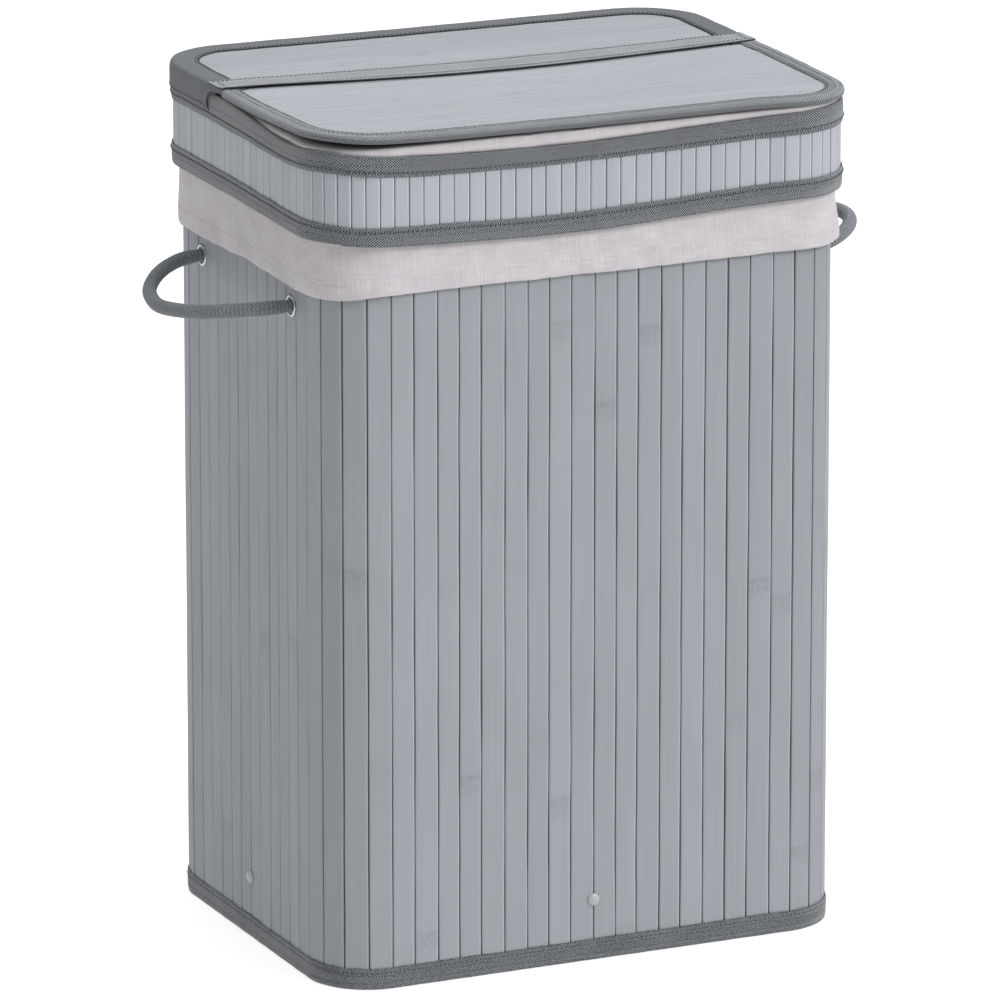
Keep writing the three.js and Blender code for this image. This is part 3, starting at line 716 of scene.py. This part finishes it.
# painted shade: the front wall and the front right corner, which face the key light, are painted darker
WALL_PAINTED_SHADE = {"front": -0.3, "corner_front_right": -0.8}
for k, (name, (a, c, count)) in enumerate(SLAT_RUNS.items()):
    b = Build()
    corner = name.startswith("corner")
    edges = slat_edges(a, c, count, 40 + k, 0.03 if corner else 0.06)
    face, gap, wobble = (-0.45, 1.1, 0.12) if corner else (-0.05, 0.62, 0.2)
    for i in range(count):
        seed = 1000 + 50 * k + i
        tone = random.Random(seed).uniform(-0.55, 0.55) + WALL_PAINTED_SHADE.get(name, 0.0)
        # glint: a painted highlight on the right bevels, strongest on the front wall
        plank(b, edges[i], edges[i + 1], FOOT_Z, TOP_Z, face, 1.9, seed, gap, wobble=wobble, tone=tone,
              glint=1.0 if name == "front" else 0.2)
    obj = b.make(f"wall_slats_{name}", [M_SLAT], None, [f"body_slats_{name}"], crease=14)
    if name in ("left", "right"):
        pierce(obj)
    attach(obj, "hamper_body")

b = Build()
back_profile = refine([(-2.3, FOOT_Z), (-2.3, TOP_Z), (-3.1, TOP_Z), (-3.1, FOOT_Z)], 25)
sweep(b, 9, back_profile, shift=lambda s, O, Z: (O + 0.08 * wave(s, 12, 30, RING), Z))
obj = b.make("wall_backing_cloth", [M_BACK], None, ["body_backing_cloth"])
pierce(obj)
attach(obj, "hamper_body")
for o in holes:
    bpy.data.objects.remove(o)

# ---- body tapes
foot = [(0.95, 3.0), (1.05, 8.0), (1.0, 13.0), (0.85, 15.3), (0.45, 15.75), (0.1, 15.3), (0.15, 12),
        (0.15, 1.0), (-3.5, 1.0), (-3.5, 12), (-3.5, 15.2), (-3.9, 15.7), (-4.3, 15.2), (-4.35, 8),
        (-4.3, 2.0), (-3.6, 0.3), (-2.0, 0.05), (-0.8, 0.05), (0.45, 0.5)]


def foot_shift(s, O, Z):
    outer = (Z > 11) & (O > -1)
    dip = 0.28 * np.abs(np.sin(math.pi * s / 8.6)) + 0.25 * wave(s, 21, 70, RING)
    Z = Z - np.where(outer, dip, 0) * step(Z, 8, 15)
    return O + np.where(O > -1, 0.16 * wave(s + Z, 22, 26, RING), 0), Z


b = Build()
sweep(b, 2.6, foot, edge=3, shift=foot_shift)
q = spaced(0, RING, 4)
stitches(b, place(q, 1.02, 12.2)[:, 0], outward(q))
b.make("foot_tape", [M_FOOT, M_THREAD], "hamper_body", ["body_foot_tape"])

b = Build()
rim = [(0.95, 580), (1.0, 588), (0.9, 593.4), (0.0, 594.35), (-3.3, 594.35), (-4.3, 593.4), (-4.35, 586),
       (-4.3, 580), (-3.5, 580), (-3.5, 593.3), (0.15, 593.3), (0.15, 580)]
sweep(b, 6, refine(rim, 6))
b.make("rim_tape", [M_TWILL], "hamper_body", ["body_rim_tape"])

# seam tape: a flat ribbon down the back wall, of (across, out) points
b = Build()
lo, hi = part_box("body_seam_tape")
z = spaced(1000 * lo.z, 1000 * hi.z, 8)
sec = np.array([(-10, 0.3), (-9.6, 0.85), (-8.5, 1.0), (0, 1.1), (8.5, 1.0), (9.6, 0.85), (10, 0.3),
                (0, 0.25)])
mid_x = 1000 * (lo.x + hi.x) / 2
rows = []
for t, o in sec:
    edge = 0.25 * np.sign(t) * wave(z, 31 + int(t > 0), 60)
    rows.append(np.stack([mid_x - t - edge, HALF_D + o + 0.1 * wave(z, 33, 40), z], 1))
run = run_along(sec, closed=True)
b.grid(np.array(rows), z[None, :], run[:, None], wrap_i=True, caps_j=True)
for t in (-7.2, 7.2):
    stitches(b, np.stack([0 * z + mid_x + t, 0 * z + HALF_D + 1.05, z], 1), (0, 1, 0), pitch=4)
b.make("back_seam_tape", [M_TWILL, M_THREAD], "hamper_body", ["body_seam_tape"])


# ---- turned metal parts and knots
def onto(wall, along, height, P):
    """Points modelled along +X out of the right wall, moved onto a wall."""
    turn = {"right": 0, "back": 90, "left": 180, "front": 270}[wall]
    reach = HALF_W if wall in ("left", "right") else HALF_D
    a = math.radians(turn)
    x, y = P[..., 0] + reach, P[..., 1]
    ca, sa = math.cos(a), math.sin(a)
    moved = np.stack([x * ca - y * sa, x * sa + y * ca, P[..., 2] + height], -1)
    moved[..., 1 if wall in ("left", "right") else 0] += along
    return moved


def turned(name, node, profile, wall, along, height, mat, slot, crease, sides=48, solid=False, lumps=0.0):
    """A lathe piece of (radius, out) points, with its axis through a wall."""
    prof = np.array(profile, float)
    ang, x = angles(sides), prof[:, 1:2]
    r = prof[:, 0:1] * np.ones((1, sides))
    high = np.zeros_like(r)
    if lumps:
        high = np.maximum(np.abs(np.cos(3 * (ang + x / 6))), np.abs(np.cos(3 * (ang - x / 6))))
        r = r * (1 - lumps + lumps * high)
    P = onto(wall, along, height, np.stack([x + 0 * r, r * np.cos(ang), r * np.sin(ang)], -1))
    b = Build()
    # tone carries the lumps' height, which the rope material paints as shade in the knot's hollows
    b.grid(P, upto(len(prof) - solid), upto(sides), wrap_i=not solid, wrap_j=True, caps_i=solid, tone=high)
    b.make(name, [mat], "hamper_body", [node], crease=crease)


EYELET = [(5.8, -5.4), (5.8, 0.4), (5.95, 0.8), (6.25, 1.05), (6.7, 1.12), (7.2, 1.02), (7.6, 0.75),
          (7.85, 0.4), (7.8, 0.15), (7.0, 0.05), (6.45, -0.2), (6.45, -4.8), (7.6, -4.8), (7.9, -5.1),
          (7.4, -5.4)]
WASHER = [(6.8, -4.3), (6.8, -3.6), (7.0, -3.5), (9.0, -3.5), (9.2, -3.7), (9.2, -4.2), (9.0, -4.4),
          (7.0, -4.4)]
RIVET = [(0.05, 2.25), (0.9, 2.22), (1.8, 2.08), (2.7, 1.8), (3.5, 1.38), (4.1, 0.9), (4.5, 0.45),
         (4.6, 0.15), (4.3, 0.02), (1.6, 0.0), (1.6, -4.8), (3.0, -4.8), (3.2, -5.0), (3.0, -5.5),
         (1.5, -5.75), (0.05, -5.8)]
KNOT = [(4.9, -5.6), (6.6, -6.3), (8.4, -7.6), (9.2, -9.3), (8.3, -10.6), (8.9, -11.8), (8.7, -13.6),
        (6.6, -14.8), (5.0, -15.4), (5.0, -16.6), (4.2, -17.5), (0.1, -17.8)]
RIVET_Z = 44
for side in ("left", "right"):
    for end, y in (("front", -EYELET_Y), ("back", EYELET_Y)):
        spot = (side, y, HANDLE_Z)
        for part, node, profile in (("ring", "eyelet", EYELET), ("washer", "eyelet_washer", WASHER)):
            turned(f"{side}_{end}_eyelet_{part}", f"{side}_{node}_{end}", profile, *spot, M_STEEL,
                   "plated_steel", 60)
        turned(f"{side}_{end}_rope_knot", f"{side}_rope_knot_{end}", refine(KNOT, 0.8, closed=False), *spot,
               M_ROPE, "rope", 80, sides=60, solid=True, lumps=0.14)
for wall in ("front", "back", "left", "right"):
    turned(f"{wall}_rivet", f"base_rivet_{wall}", RIVET, wall, 0, RIVET_Z, M_RIVET, "plated_steel", 50,
           solid=True)

# ---- base cover and hinge strips
lo, hi = box_mm("base_cover_cloth")
cover_y, cover_d, cover_w = (lo.y + hi.y) / 2, (hi.y - lo.y) / 2, (hi.x - lo.x) / 2


def plan(half_w, half_d, radius, mid_y, longest=22):
    """Rounded rectangle outline, anticlockwise."""
    out = []
    for sx, sy, start in ((1, -1, -90), (1, 1, 0), (-1, 1, 90), (-1, -1, 180)):
        for a in np.radians(start + np.linspace(0, 90, 9)):
            out.append((sx * (half_w - radius) + radius * math.cos(a),
                        mid_y + sy * (half_d - radius) + radius * math.sin(a)))
    return refine(out, longest)


outline = plan(cover_w, cover_d, 38, cover_y)


def shrunk(k, z):
    """The cover's outline scaled by k about its middle, at height z."""
    return np.c_[(outline - [0, cover_y]) * k + [0, cover_y], np.full(len(outline), z)]


levels = [shrunk(1 - 0.5 / cover_w, lo.z + 0.05), shrunk(1.0, lo.z + 0.6), shrunk(1.0, hi.z - 0.7),
          shrunk(1 - 0.8 / cover_w, hi.z - 0.15)]
for k in np.linspace(0.985, 0.02, 34):
    loop = shrunk(k, hi.z - 0.1)
    loop[:, 2] += 0.28 * wave(loop[:, 0] * 0.7 + loop[:, 1], 51, 60) * (1 - k ** 8)
    levels.append(loop)
P = np.stack(levels, 1)
b = Build()
b.grid(P, *flat_uv(P), wrap_i=True, caps_j=True)
b.make("base_cover", [M_BACK], "base", ["base_cover_cloth"])

for side in ("left", "right"):
    lo, hi = box_mm(f"base_hinge_strip_{side}")
    x = spaced(lo.x, hi.x, 4)
    y = HALF_D
    prof = refine([(y - 3.5, 25.5), (y - 3.5, 59.6), (y - 4.2, 60), (y - 4.2, 25.4), (y - 4.9, 24.8),
                   (y - 6.9, 24.8), (y - 6.9, 24.1), (y - 4.4, 24.1)], 3)
    X, Y, Z = np.broadcast_arrays(x[:, None], prof[:, 0], prof[:, 1])
    b = Build()
    P = np.stack([X, Y - 0.08 * np.abs(wave(X + Z, 61, 20)), Z], -1)
    b.grid(P, x, run_along(prof, closed=True), wrap_j=True, caps_i=True)
    stitches(b, np.stack([x, 0 * x + y - 4.25, 0 * x + 54.0], 1), (0, -1, 0), pitch=4)
    b.make(f"base_strip_{side}", [M_BACK, M_THREAD], "hamper_body",
           [f"base_hinge_strip_{side}"])


# ---- liner
def lid_tilt(x, y):
    """The loose lid sits a little high at its rear left corner."""
    return np.interp(x, [-200, 0, 200], [2.4, 0.3, -0.8]) * step(y, -120, 60)


def front_dip(x, y):
    """From 0 at the front corners to 1 a little left of the middle of the front wall."""
    return np.cos(np.clip((x + 35) / 195, -1, 1) * math.pi / 2) ** 2 * (y < -HALF_D + 12)


def band_sag(s, z):
    """The soft lid band hangs lower in the middle of the front, and swells at the front left corner."""
    x, y = ring(s)[0].T
    levels = [530, 544, 576, 590.5]
    corner = step(-x, 120, 185) * step(-y, 60, 140) * np.interp(z, levels, [0, -1.2, 2.4, 3.2])
    return lid_tilt(x, y) - front_dip(x, y) * np.interp(z, levels, [5.8, 5.6, 2.6, 4.6]) + corner


def corner_rise(s):
    """The band's upper edge lifts a little at the front right corner, under the drooping flap."""
    x, y = ring(s)[0].T
    return 2.4 * step(x, 120, HALF_W) * step(-y, 20, HALF_D * 0.9)


def cuff_shift(s, O, Z):
    """The cuff stands off the wall, its hem waves, and its fold over the rim dips with the band."""
    outer = O > 0.5
    right_corner = np.exp(-(((s - (STARTS[1] + 40)) / 42.0) ** 2))
    puff = 0.5 * wave(s + 0.6 * Z, 71, 52, RING) + 2.6 * right_corner + 0.5
    O = O + np.where(outer, np.maximum(puff, -0.9) * step(Z, 528, 496), 0)
    O = O + np.where(outer & (Z < 503), 0.22 * wave(s, 73, 9, RING), 0)
    facing_front = step(-ring(s[:, 0])[1][:, :1], 0.05, 0.9)
    edge = 0.45 * wave(s, 72, 120, RING) + 0.12 * wave(s, 74, 22, RING) + 1.2 - 4.0 * facing_front
    kink = 2.4 * np.exp(-(((s - (MID_LEFT + 7)) / 16.0) ** 2))
    Z = Z + np.where(outer, (edge + kink) * step(Z, 512, 494), 0)
    hang = 4.6 * front_dip(*ring(s[:, 0])[0].T)
    Z = Z - np.where((Z > 586) & (Z < 594.5) & (O > 2.45), hang[:, None], 0)
    O = O + np.where((Z > 584) & (O > 2.45), 0.35 * wave(s, 75, 35, RING), 0)
    return O, Z


cuff = [(2.7, 492.5), (3.1, 493.3), (3.1, 497), (3.0, 502.2), (2.95, 503.6), (2.9, 506), (2.7, 512),
        (2.55, 518), (2.5, 524), (2.45, 530), (2.4, 545), (2.4, 560), (2.4, 575), (2.5, 587), (3.2, 590.6),
        (4.9, 591.6), (5.3, 593.2), (4.6, 594.8), (2.4, 595.8), (-1, 596.0), (-4.0, 595.9), (-5.4, 594.6),
        (-5.6, 592), (-5.6, 576), (-5.6, 560), (-4.8, 560), (-4.8, 576), (-4.8, 592.5), (-3.6, 595.0),
        (1.2, 595.0), (3.2, 594.4), (4.1, 593.4), (2.4, 592.2), (1.6, 588), (1.4, 575), (1.4, 560),
        (1.4, 545), (1.4, 530), (1.4, 518), (1.4, 506), (1.3, 496), (1.5, 492.8)]
b = Build()
sweep(b, 3.2, cuff, shift=cuff_shift)
q = spaced(0, RING, 3.2)
stitches(b, on_sweep(q, 3.0, 503.1, cuff_shift), outward(q), pitch=3.3, r=0.26, lift=0.1)
cuff_obj = b.make("liner_cuff_cloth", [M_LINEN, M_LIGHT_THREAD], "liner",
                  ["liner_cuff", "liner_hem"], crease=60)

b = Build()
s = spaced(0, RING, 9)[:-1]
levels = list(spaced(590, 505, 9)) + list(spaced(495, 40, 12)) + [34, 30.5]
p, n = ring(s)
P = []
for z in levels:
    side_in, front_in = [np.interp(z, [28, 505, 548, 590], [low, low, 5.6, 5.6]) for low in (20, 7)]
    inset = side_in * n[:, 0] ** 2 + front_in * n[:, 1] ** 2
    folds = 1.1 + wave(s + 0.12 * z, 81, 95, RING) + 0.4 * wave(s - 0.3 * z, 82, 40, RING)
    folds = step(z, 560, 480) * folds * (1.4 + 1.6 * step(z, 500, 250))
    inset = inset + np.maximum(folds, 0) * step(z, 28, 60) + 8 * step(z, 40, 30)
    P.append(np.c_[p - n * inset[:, None], np.full(len(s), z)])
for k in np.linspace(0.93, 0.03, 16):
    loop = np.c_[P[len(levels) - 1][:, :2] * k, np.full(len(s), 29.2)]
    loop[:, 2] += 0.9 + 0.8 * wave(loop[:, 0] + 0.6 * loop[:, 1], 83, 80)
    P.append(loop)
P = np.stack(P, 1)
drop = np.abs(np.diff(P[0, :, 2])) + np.linalg.norm(np.diff(P[0, :, :2], axis=0), axis=1)
b.grid(P[::-1], np.r_[s, RING][::-1], np.r_[0, np.cumsum(drop)], wrap_i=True, caps_j=True)
bag = b.make("liner_bag_cloth", [M_LINEN], None, ["liner_bag"], crease=60)
mod = bag.modifiers.new("thickness", "SOLIDIFY")
mod.thickness, mod.offset = 0.0007, -1
applied(bag)
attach(bag, "liner")
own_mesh(bag)

# ---- lid band
BAND_Z0, BAND_Z1, BAND_TAPE = 530.0, 590.5, 14.2
BAND_RUNS = {
    "front": ("corner_front_left", "front", "corner_front_right"),
    "right": ("right",),
    "back": ("corner_back_right", "back", "corner_back_left"),
    "left": ("left",),
}
for k, (name, runs) in enumerate(BAND_RUNS.items()):
    b = Build()
    for r, run in enumerate(runs):
        corner = run.startswith("corner")
        a, c, wide = SLAT_RUNS[run]
        # narrower slats than the body's: two for one round a corner, three for two along a wall
        count = wide * 2 if corner else wide * 3 // 2
        edges = slat_edges(a, c, count, 90 + 5 * k + r, 0.05)
        for i in range(count):
            seed = 3000 + 300 * k + 60 * r + i
            # slats stand on a bigger ring than the body's, so their width grows with it
            grow = 5.7 * (edges[i + 1] - edges[i]) / CORNER if corner else 0
            # glint: a painted highlight on the right bevels, strongest on the front band
            plank(b, edges[i] - grow / 2, edges[i + 1] + grow / 2, BAND_Z0 + 1.1, BAND_Z1 - 1.1,
                  6.35 if corner else 6.5, 1.7, seed, 0.42, wobble=0.05,
                  tone=random.Random(seed).uniform(-0.5, 0.5), chamfer=0.75, rise=band_sag, every=12,
                  glint=1.3 if name == "front" else 0.3)
    b.make(f"band_slats_{name}", [M_BAND], "lid", [f"lid_band_slats_{name}"], crease=14)


def sag_grid(s, Z):
    return np.stack([band_sag(s[:, 0], Z[:, j]) for j in range(Z.shape[1])], 1)


b = Build()
lining = [(4.6, BAND_Z0 + 1), (4.6, BAND_Z1 - 1), (4.0, BAND_Z1 - 1), (4.0, BAND_Z0 + 1)]
sweep(b, 8, refine(lining, 12), shift=lambda s, O, Z: (O, Z + sag_grid(s, Z)))
b.make("band_lining", [M_BACK], "lid", ["lid_band_lining"])


def band_profile(z0, z1, roll_up):
    """Twill folded over an edge: open toward the slats, rolled at the other end."""
    h = z1 - z0
    raw = [(7.55, 0.0), (7.75, 0.3 * h), (7.7, 0.8 * h), (7.3, h - 0.5), (6.4, h), (4.4, h), (3.4, h - 0.5),
           (3.05, h - 1.6), (3.05, 0.0), (3.7, 0.0), (3.75, h - 1.3), (6.85, h - 1.3), (6.9, 0.1)]
    pts = refine(soften(raw), 3.2)
    if roll_up:
        return np.c_[pts[:, 0], z0 + pts[:, 1]]
    return np.c_[pts[:, 0], z1 - pts[:, 1]][::-1]


def band_tape(name, z0, z1, roll_up, node, seed):
    prof = band_profile(z0, z1, roll_up)
    slat_edge = z0 if roll_up else z1
    edge = nearest(prof, 7.5, slat_edge, weight=5)

    def shift(s, O, Z):
        far = np.abs(Z - slat_edge) / BAND_TAPE
        Z = Z + (1 - far) * 0.25 * wave(s, seed, 80, RING) + far * 0.3 * wave(s, seed + 1, 140, RING)
        O = O + np.where(O > 6, 0.14 * wave(s + Z, seed + 2, 30, RING), 0)
        if roll_up:
            x, y = ring(s[:, 0])[0].T
            lift = 5.4 * step(y, -95, HINGE_Y + 8) * (x < 0) + corner_rise(s[:, 0])
            Z = Z + far * lift[:, None]
        return O, Z + sag_grid(s, Z)

    b = Build()
    sweep(b, 3, prof, edge=edge, shift=shift)
    q = spaced(0, RING, 3)
    seam = slat_edge + (3.4 if roll_up else -3.4)
    stitches(b, on_sweep(q, 7.75, seam, shift), outward(q), r=0.40, lift=0.6)
    b.make(name, [M_TWILL, M_THREAD], "lid", [node])


band_tape("band_tape_lower", BAND_Z0, BAND_Z0 + BAND_TAPE, False, "lid_band_tape_lower", 101)
band_tape("band_tape_upper", BAND_Z1 - BAND_TAPE, BAND_Z1, True, "lid_band_tape_upper", 111)

# ---- lid panels
FOLD_SAG = 4.3


def reach(y, out):
    """Half width of the lid outline at y, out beyond the body face."""
    r = CORNER + out
    over = np.maximum(np.abs(y) - FLAT_D, 0)
    return FLAT_W + np.sqrt(np.maximum(r * r - over * over, 0))


def across(x):
    """Share of the fold's sag at x: most a little right of the middle."""
    return np.cos(np.clip((x - 18) / 390, -0.5, 0.5) * math.pi)


def bow(P):
    """The flap hangs with the fold in its middle, and droops at its front right corner."""
    P = P.copy()
    x, y = P[..., 0], P[..., 1]
    P[..., 2] -= FOLD_SAG * across(x) * np.clip((y + HALF_D) / (HINGE_Y + HALF_D), 0, 1) ** 1.2
    front = np.interp(x, [-200, -119, 0, 120, 200], [4.6, 1.9, 0.7, 0.6, -2.2])
    P[..., 2] += front * step(-y, 0, 140) + lid_tilt(x, y)
    return P


def dish(P):
    """The fixed panel sags along the fold only."""
    P = P.copy()
    x, y = P[..., 0], P[..., 1]
    sag = FOLD_SAG * across(x) * np.exp(-np.maximum(y - HINGE_Y, 0) / 34.0)
    P[..., 2] -= sag * (1 - step(y, 100, HALF_D)) - lid_tilt(x, y)
    return P


def plate(name, y0, y1, z0, z1, out, mat, body, node, deform):
    """A thin plate with the lid's outline between y0 and y1."""
    y = spaced(y0, y1, 5)
    if y0 < -HALF_D:
        y = np.unique(np.r_[y0 + 0.6, y0 + 1.6, y0 + 3.2, y])
    if y1 > HALF_D:
        y = np.unique(np.r_[y, y1 - 0.6, y1 - 1.6, y1 - 3.2])
    X = reach(y, out)[None, :] * np.linspace(-1, 1, 57)[:, None]
    Y = np.broadcast_to(y, X.shape)
    top, low = [np.stack([X, Y, np.full_like(X, z)], -1) for z in (z1, z0)]
    P = deform(np.concatenate([top, low[::-1]], 0))
    b = Build()
    b.grid(P, *flat_uv(P), wrap_i=True, caps_j=True)
    b.make(name, [mat], body, [node])


LID_OUT = 6.6
FRONT_EDGE, REAR_EDGE = -(HALF_D + LID_OUT), HALF_D + LID_OUT
FLAP_END, REAR_END = HINGE_Y - 0.5, HINGE_Y + 0.5
# part, body, front edge, rear edge, deformation, and the painted light on its slats: the lid's top painted
# lighter, the flap more than the rear panel
PANELS = (("flap", "flap", FRONT_EDGE, FLAP_END, bow, 2.8),
          ("rear_panel", "lid", REAR_END, REAR_EDGE, dish, 1.3))
# a slat's section from its foot toward its middle: distance in from its side, and height
SLAT_GAP, SLAT_TOP = 0.12, 601.05
SLAT_SIDE = [(0, 599.35), (0.03, 600.7), (0.3, 600.98), (1.88, 601.04)]
for part, body, y0, y1, deform, shade in PANELS:
    inside = HALF_D - 6
    plate(f"{part}_lining", max(y0, -inside), min(y1, inside), 597.1, 597.5, -6, M_LINEN, body,
          f"lid_{part}_lining", deform)
    plate(f"{part}_board", y0 + 0.1, y1 - 0.1, 597.8, 599.0, LID_OUT, M_BOARD, body,
          f"lid_{part}_board", deform)
    # slats along X
    count = int(round((y1 - y0) / 11.2))
    edges = slat_edges(y0, y1, count, 140 + len(part), 0.08)
    b = Build()
    for i in range(count):
        seed = 5000 + 40 * len(part) + i
        pick = random.Random(seed)
        a, c = edges[i] + SLAT_GAP, edges[i + 1] - SLAT_GAP
        middle = (edges[i] + edges[i + 1]) / 2
        front = [(a + q, z) for q, z in SLAT_SIDE]
        prof = np.array(front + [(middle, SLAT_TOP)] + [(c - q, z) for q, z in SLAT_SIDE[::-1]])
        lean = math.tan(math.radians(pick.gauss(0, 0.35)))
        t = np.linspace(-1, 1, 75)
        y = prof[:, 0]
        X = reach(y, LID_OUT - 0.2)[None, :] * t[:, None]
        Y = y + 0.10 * wave(HALF_W * t, seed, 130)[:, None]
        Z = prof[:, 1] + lean * (y - middle) + pick.uniform(-0.06, 0.06) + 0.08 * wave(X, seed + 7, 160)
        run = run_along(prof)
        # the bamboo grain runs along V, so V is x and U is y here
        U = np.r_[run, run[-1] + 5] + grain_start(seed)
        V = np.concatenate([X, X[:, :1]], 1) + pick.uniform(0, 900)
        b.grid(deform(np.stack([X, Y, Z], -1)), U[None, :], V, wrap_j=True, caps_i=True,
               tone=pick.uniform(-0.5, 0.5) + shade)
    b.make(f"{part}_slats", [M_LID], body, [f"lid_{part}_slats"], crease=16)


def top_line(s, o, z, deform):
    return deform(place(s, o, z)[:, 0])


FLAP_S = spaced(MID_LEFT - FLAP_END, MID_RIGHT + FLAP_END + RING, 3)
REAR_S = spaced(MID_RIGHT + REAR_END, MID_LEFT - REAR_END, 3)

flap_raw = [(8.2, 597.2), (8.75, 599.2), (8.4, 601.3), (7.0, 602.3), (4.5, 602.35), (1.0, 602.05),
            (-3.2, 601.95), (-5.0, 601.75), (-5.1, 601.3), (-3, 601.15), (6.4, 601.25), (6.9, 600.6),
            (6.9, 597.2), (6.3, 597.0), (-4.9, 596.95), (-5.1, 596.6), (-4.8, 596.25), (0, 596.2),
            (6.6, 596.3)]
flap_prof = refine(soften(flap_raw), 2.4)


def flap_shift(s, O, Z):
    inner = step(O, 2, -4)
    O = O + inner * 0.25 * wave(s, 151, 60) + (1 - inner) * 0.18 * wave(s, 152, 34)
    return O, Z + np.where(Z > 600, 0.12 * wave(s + 3 * O, 153, 22), 0)


b = Build()
# painted shadow: the inner edge of the fold is painted nearly black, and the underside of the roll is
# painted darker
shade = -0.8 * step(-flap_prof[:, 0], 3.7, 4.5) - 0.5 * step(600.6 - flap_prof[:, 1], 0, 2.5)
sweep(b, FLAP_S, flap_prof, edge=nearest(flap_prof, -5, 601.9), shift=flap_shift, deform=bow,
      shade=shade)
stitches(b, top_line(FLAP_S, -3.0, 602.0, bow), UP)
stitches(b, top_line(FLAP_S, 2.2, 602.15, bow), UP)
b.make("flap_edge_binding", [M_FLAP_TWILL_PAINTED_LIT, M_THREAD], "flap", ["lid_flap_binding"])

rear_raw = [(8.3, 583.0), (8.75, 586), (8.9, 592), (8.95, 597), (8.5, 600.6), (7.0, 602.2), (4.0, 602.6),
            (-2, 602.3), (-9, 602.0), (-11.7, 601.9), (-12.0, 601.5), (-11, 601.15), (6.2, 601.3),
            (7.5, 600.2), (7.85, 597), (7.9, 590), (7.8, 583.0)]
rear_prof = refine(soften(rear_raw), 2.6)


def rear_shift(s, O, Z):
    low = step(Z, 592, 583)
    ripple = np.where(O > 6, 0.35 * wave(s + 0.5 * Z, 161, 45) * (1 - 0.5 * low), 0)
    O = O + ripple + step(O, -4, -11) * 0.4 * wave(s, 162, 70)
    Z = Z + low * 0.5 * wave(s, 163, 60)
    ends = np.minimum(s - REAR_S[0], REAR_S[-1] - s)
    # the cut ends at the hinge swell and curl inward toward the bottom
    swell = np.exp(-((ends / 9.0) ** 2)) * np.exp(-(((Z - 592) / 6.0) ** 2))
    return O + np.where(O > 6, 1.3 * swell, 0), Z


def cut_back(P):
    """The side legs of the binding are cut further back than its top, under the hinge tape."""
    P = P.copy()
    x, y, z = P[..., 0], P[..., 1], P[..., 2]
    front = 62 - y
    k = step(z, 600.8, 596.5) * (np.abs(x) > HALF_W - 4) * (y < 62)
    P[..., 1] = y + k * np.maximum(0, front * 0.58 + 1.6 * np.sin((z - 583) / 18 * TAU) * front / 40)
    return dish(P)


b = Build()
# painted shadow: the inner edge of the binding, against the rear panel, is painted nearly black
sweep(b, REAR_S, rear_prof, edge=nearest(rear_prof, -12, 601.7), shift=rear_shift, deform=cut_back,
      shade=-1.0 * step(-rear_prof[:, 0], 10.2, 11.1))
stitches(b, top_line(REAR_S, -9.2, 602.05, dish), UP)
stitches(b, cut_back(on_sweep(REAR_S, 8.7, 585.6, rear_shift)), outward(REAR_S))
b.make("rear_edge_binding", [M_BIND, M_THREAD], "lid", ["lid_rear_binding"])

# hinge tape across the fold: its front edge curls up, more to the left
lo, hi = box_mm("lid_hinge_tape")
x = spaced(lo.x, hi.x, 4)
y = np.r_[lo.y, lo.y + 0.5, np.linspace(lo.y + 2, hi.y - 2, 11), hi.y - 0.5, hi.y]
X, Y = np.meshgrid(x, y, indexing="ij")
curl = 0.5 + 0.7 * step(-X, 60, HALF_W)
front = np.exp(-(((Y - lo.y) / 5.0) ** 2))
edge_dip = step(np.minimum(Y - lo.y, hi.y - Y), 1.6, 0)
top = 602.85 + curl * front - 0.25 * edge_dip + 0.12 * wave(X + 2 * Y, 171, 55)
low = 602.05 + (curl - 0.2) * front
Yw = Y + 0.3 * wave(X, 172, 150) * np.sign(Y - (lo.y + hi.y) / 2)
P = np.concatenate([np.stack([X, Yw, top], -1), np.stack([X, Yw, low], -1)[:, ::-1]], 1)
# painted shadow: the ribbon's underside and its front edge face are painted nearly black, as the shadow
# under its curled front edge
painted_shadow = np.r_[np.zeros(len(y)), -np.ones(len(y))]
painted_shadow[0] = -0.8
b = Build()
b.grid(dish(P), x, np.r_[y - y[0], (y - y[0])[::-1], 0.0], wrap_j=True, caps_i=True, edge=painted_shadow)
for at in (lo.y + 3.4, hi.y - 3.0):
    over = 0.12 * wave(x + 2 * at, 171, 55) + 0.5 * math.exp(-(((at - lo.y) / 5.0) ** 2))
    stitches(b, dish(np.stack([x, 0 * x + at, 602.9 + over], 1)), UP)
for side in (-1, 1):
    yy = spaced(lo.y + 3, hi.y - 3, 3)
    line = np.stack([0 * yy + side * (hi.x - 5.0), yy, 0 * yy + 602.9], 1)
    stitches(b, dish(line), UP, pitch=3.0)
b.make("lid_hinge_ribbon", [M_TWILL_PAINTED_LIT, M_THREAD], "lid", ["lid_hinge_tape"])

# cloth strip under the fold that joins flap and rear panel
b = Build()
x = spaced(-HALF_W + 8, HALF_W - 8, 8)
y = np.r_[np.linspace(2, 14, 4), np.linspace(16, 28, 17), np.linspace(30, 42, 4)]
X, Y = np.meshgrid(x, y, indexing="ij")
low, high = [np.stack([X, Y, np.full_like(X, z)], -1) for z in (596.2, 596.9)]
flat = np.concatenate([high, low[:, ::-1]], 1)
P = np.where(flat[..., 1:2] > HINGE_Y, dish(flat), bow(flat))
b.grid(P, x, np.r_[y, y[::-1], y[:1]], wrap_j=True, caps_i=True)
strip = b.make("lid_fold_cloth", [M_BACK], None)
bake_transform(strip)

# ---- CAD pieces that stay
for name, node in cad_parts.items():
    if not node.hide_render:
        node.data.materials.clear()
        node.data.materials.append(M_STEEL if "bracket" in name else M_BOARD)

for mesh in bpy.data.meshes:
    if mesh.users == 0:
        bpy.data.meshes.remove(mesh)
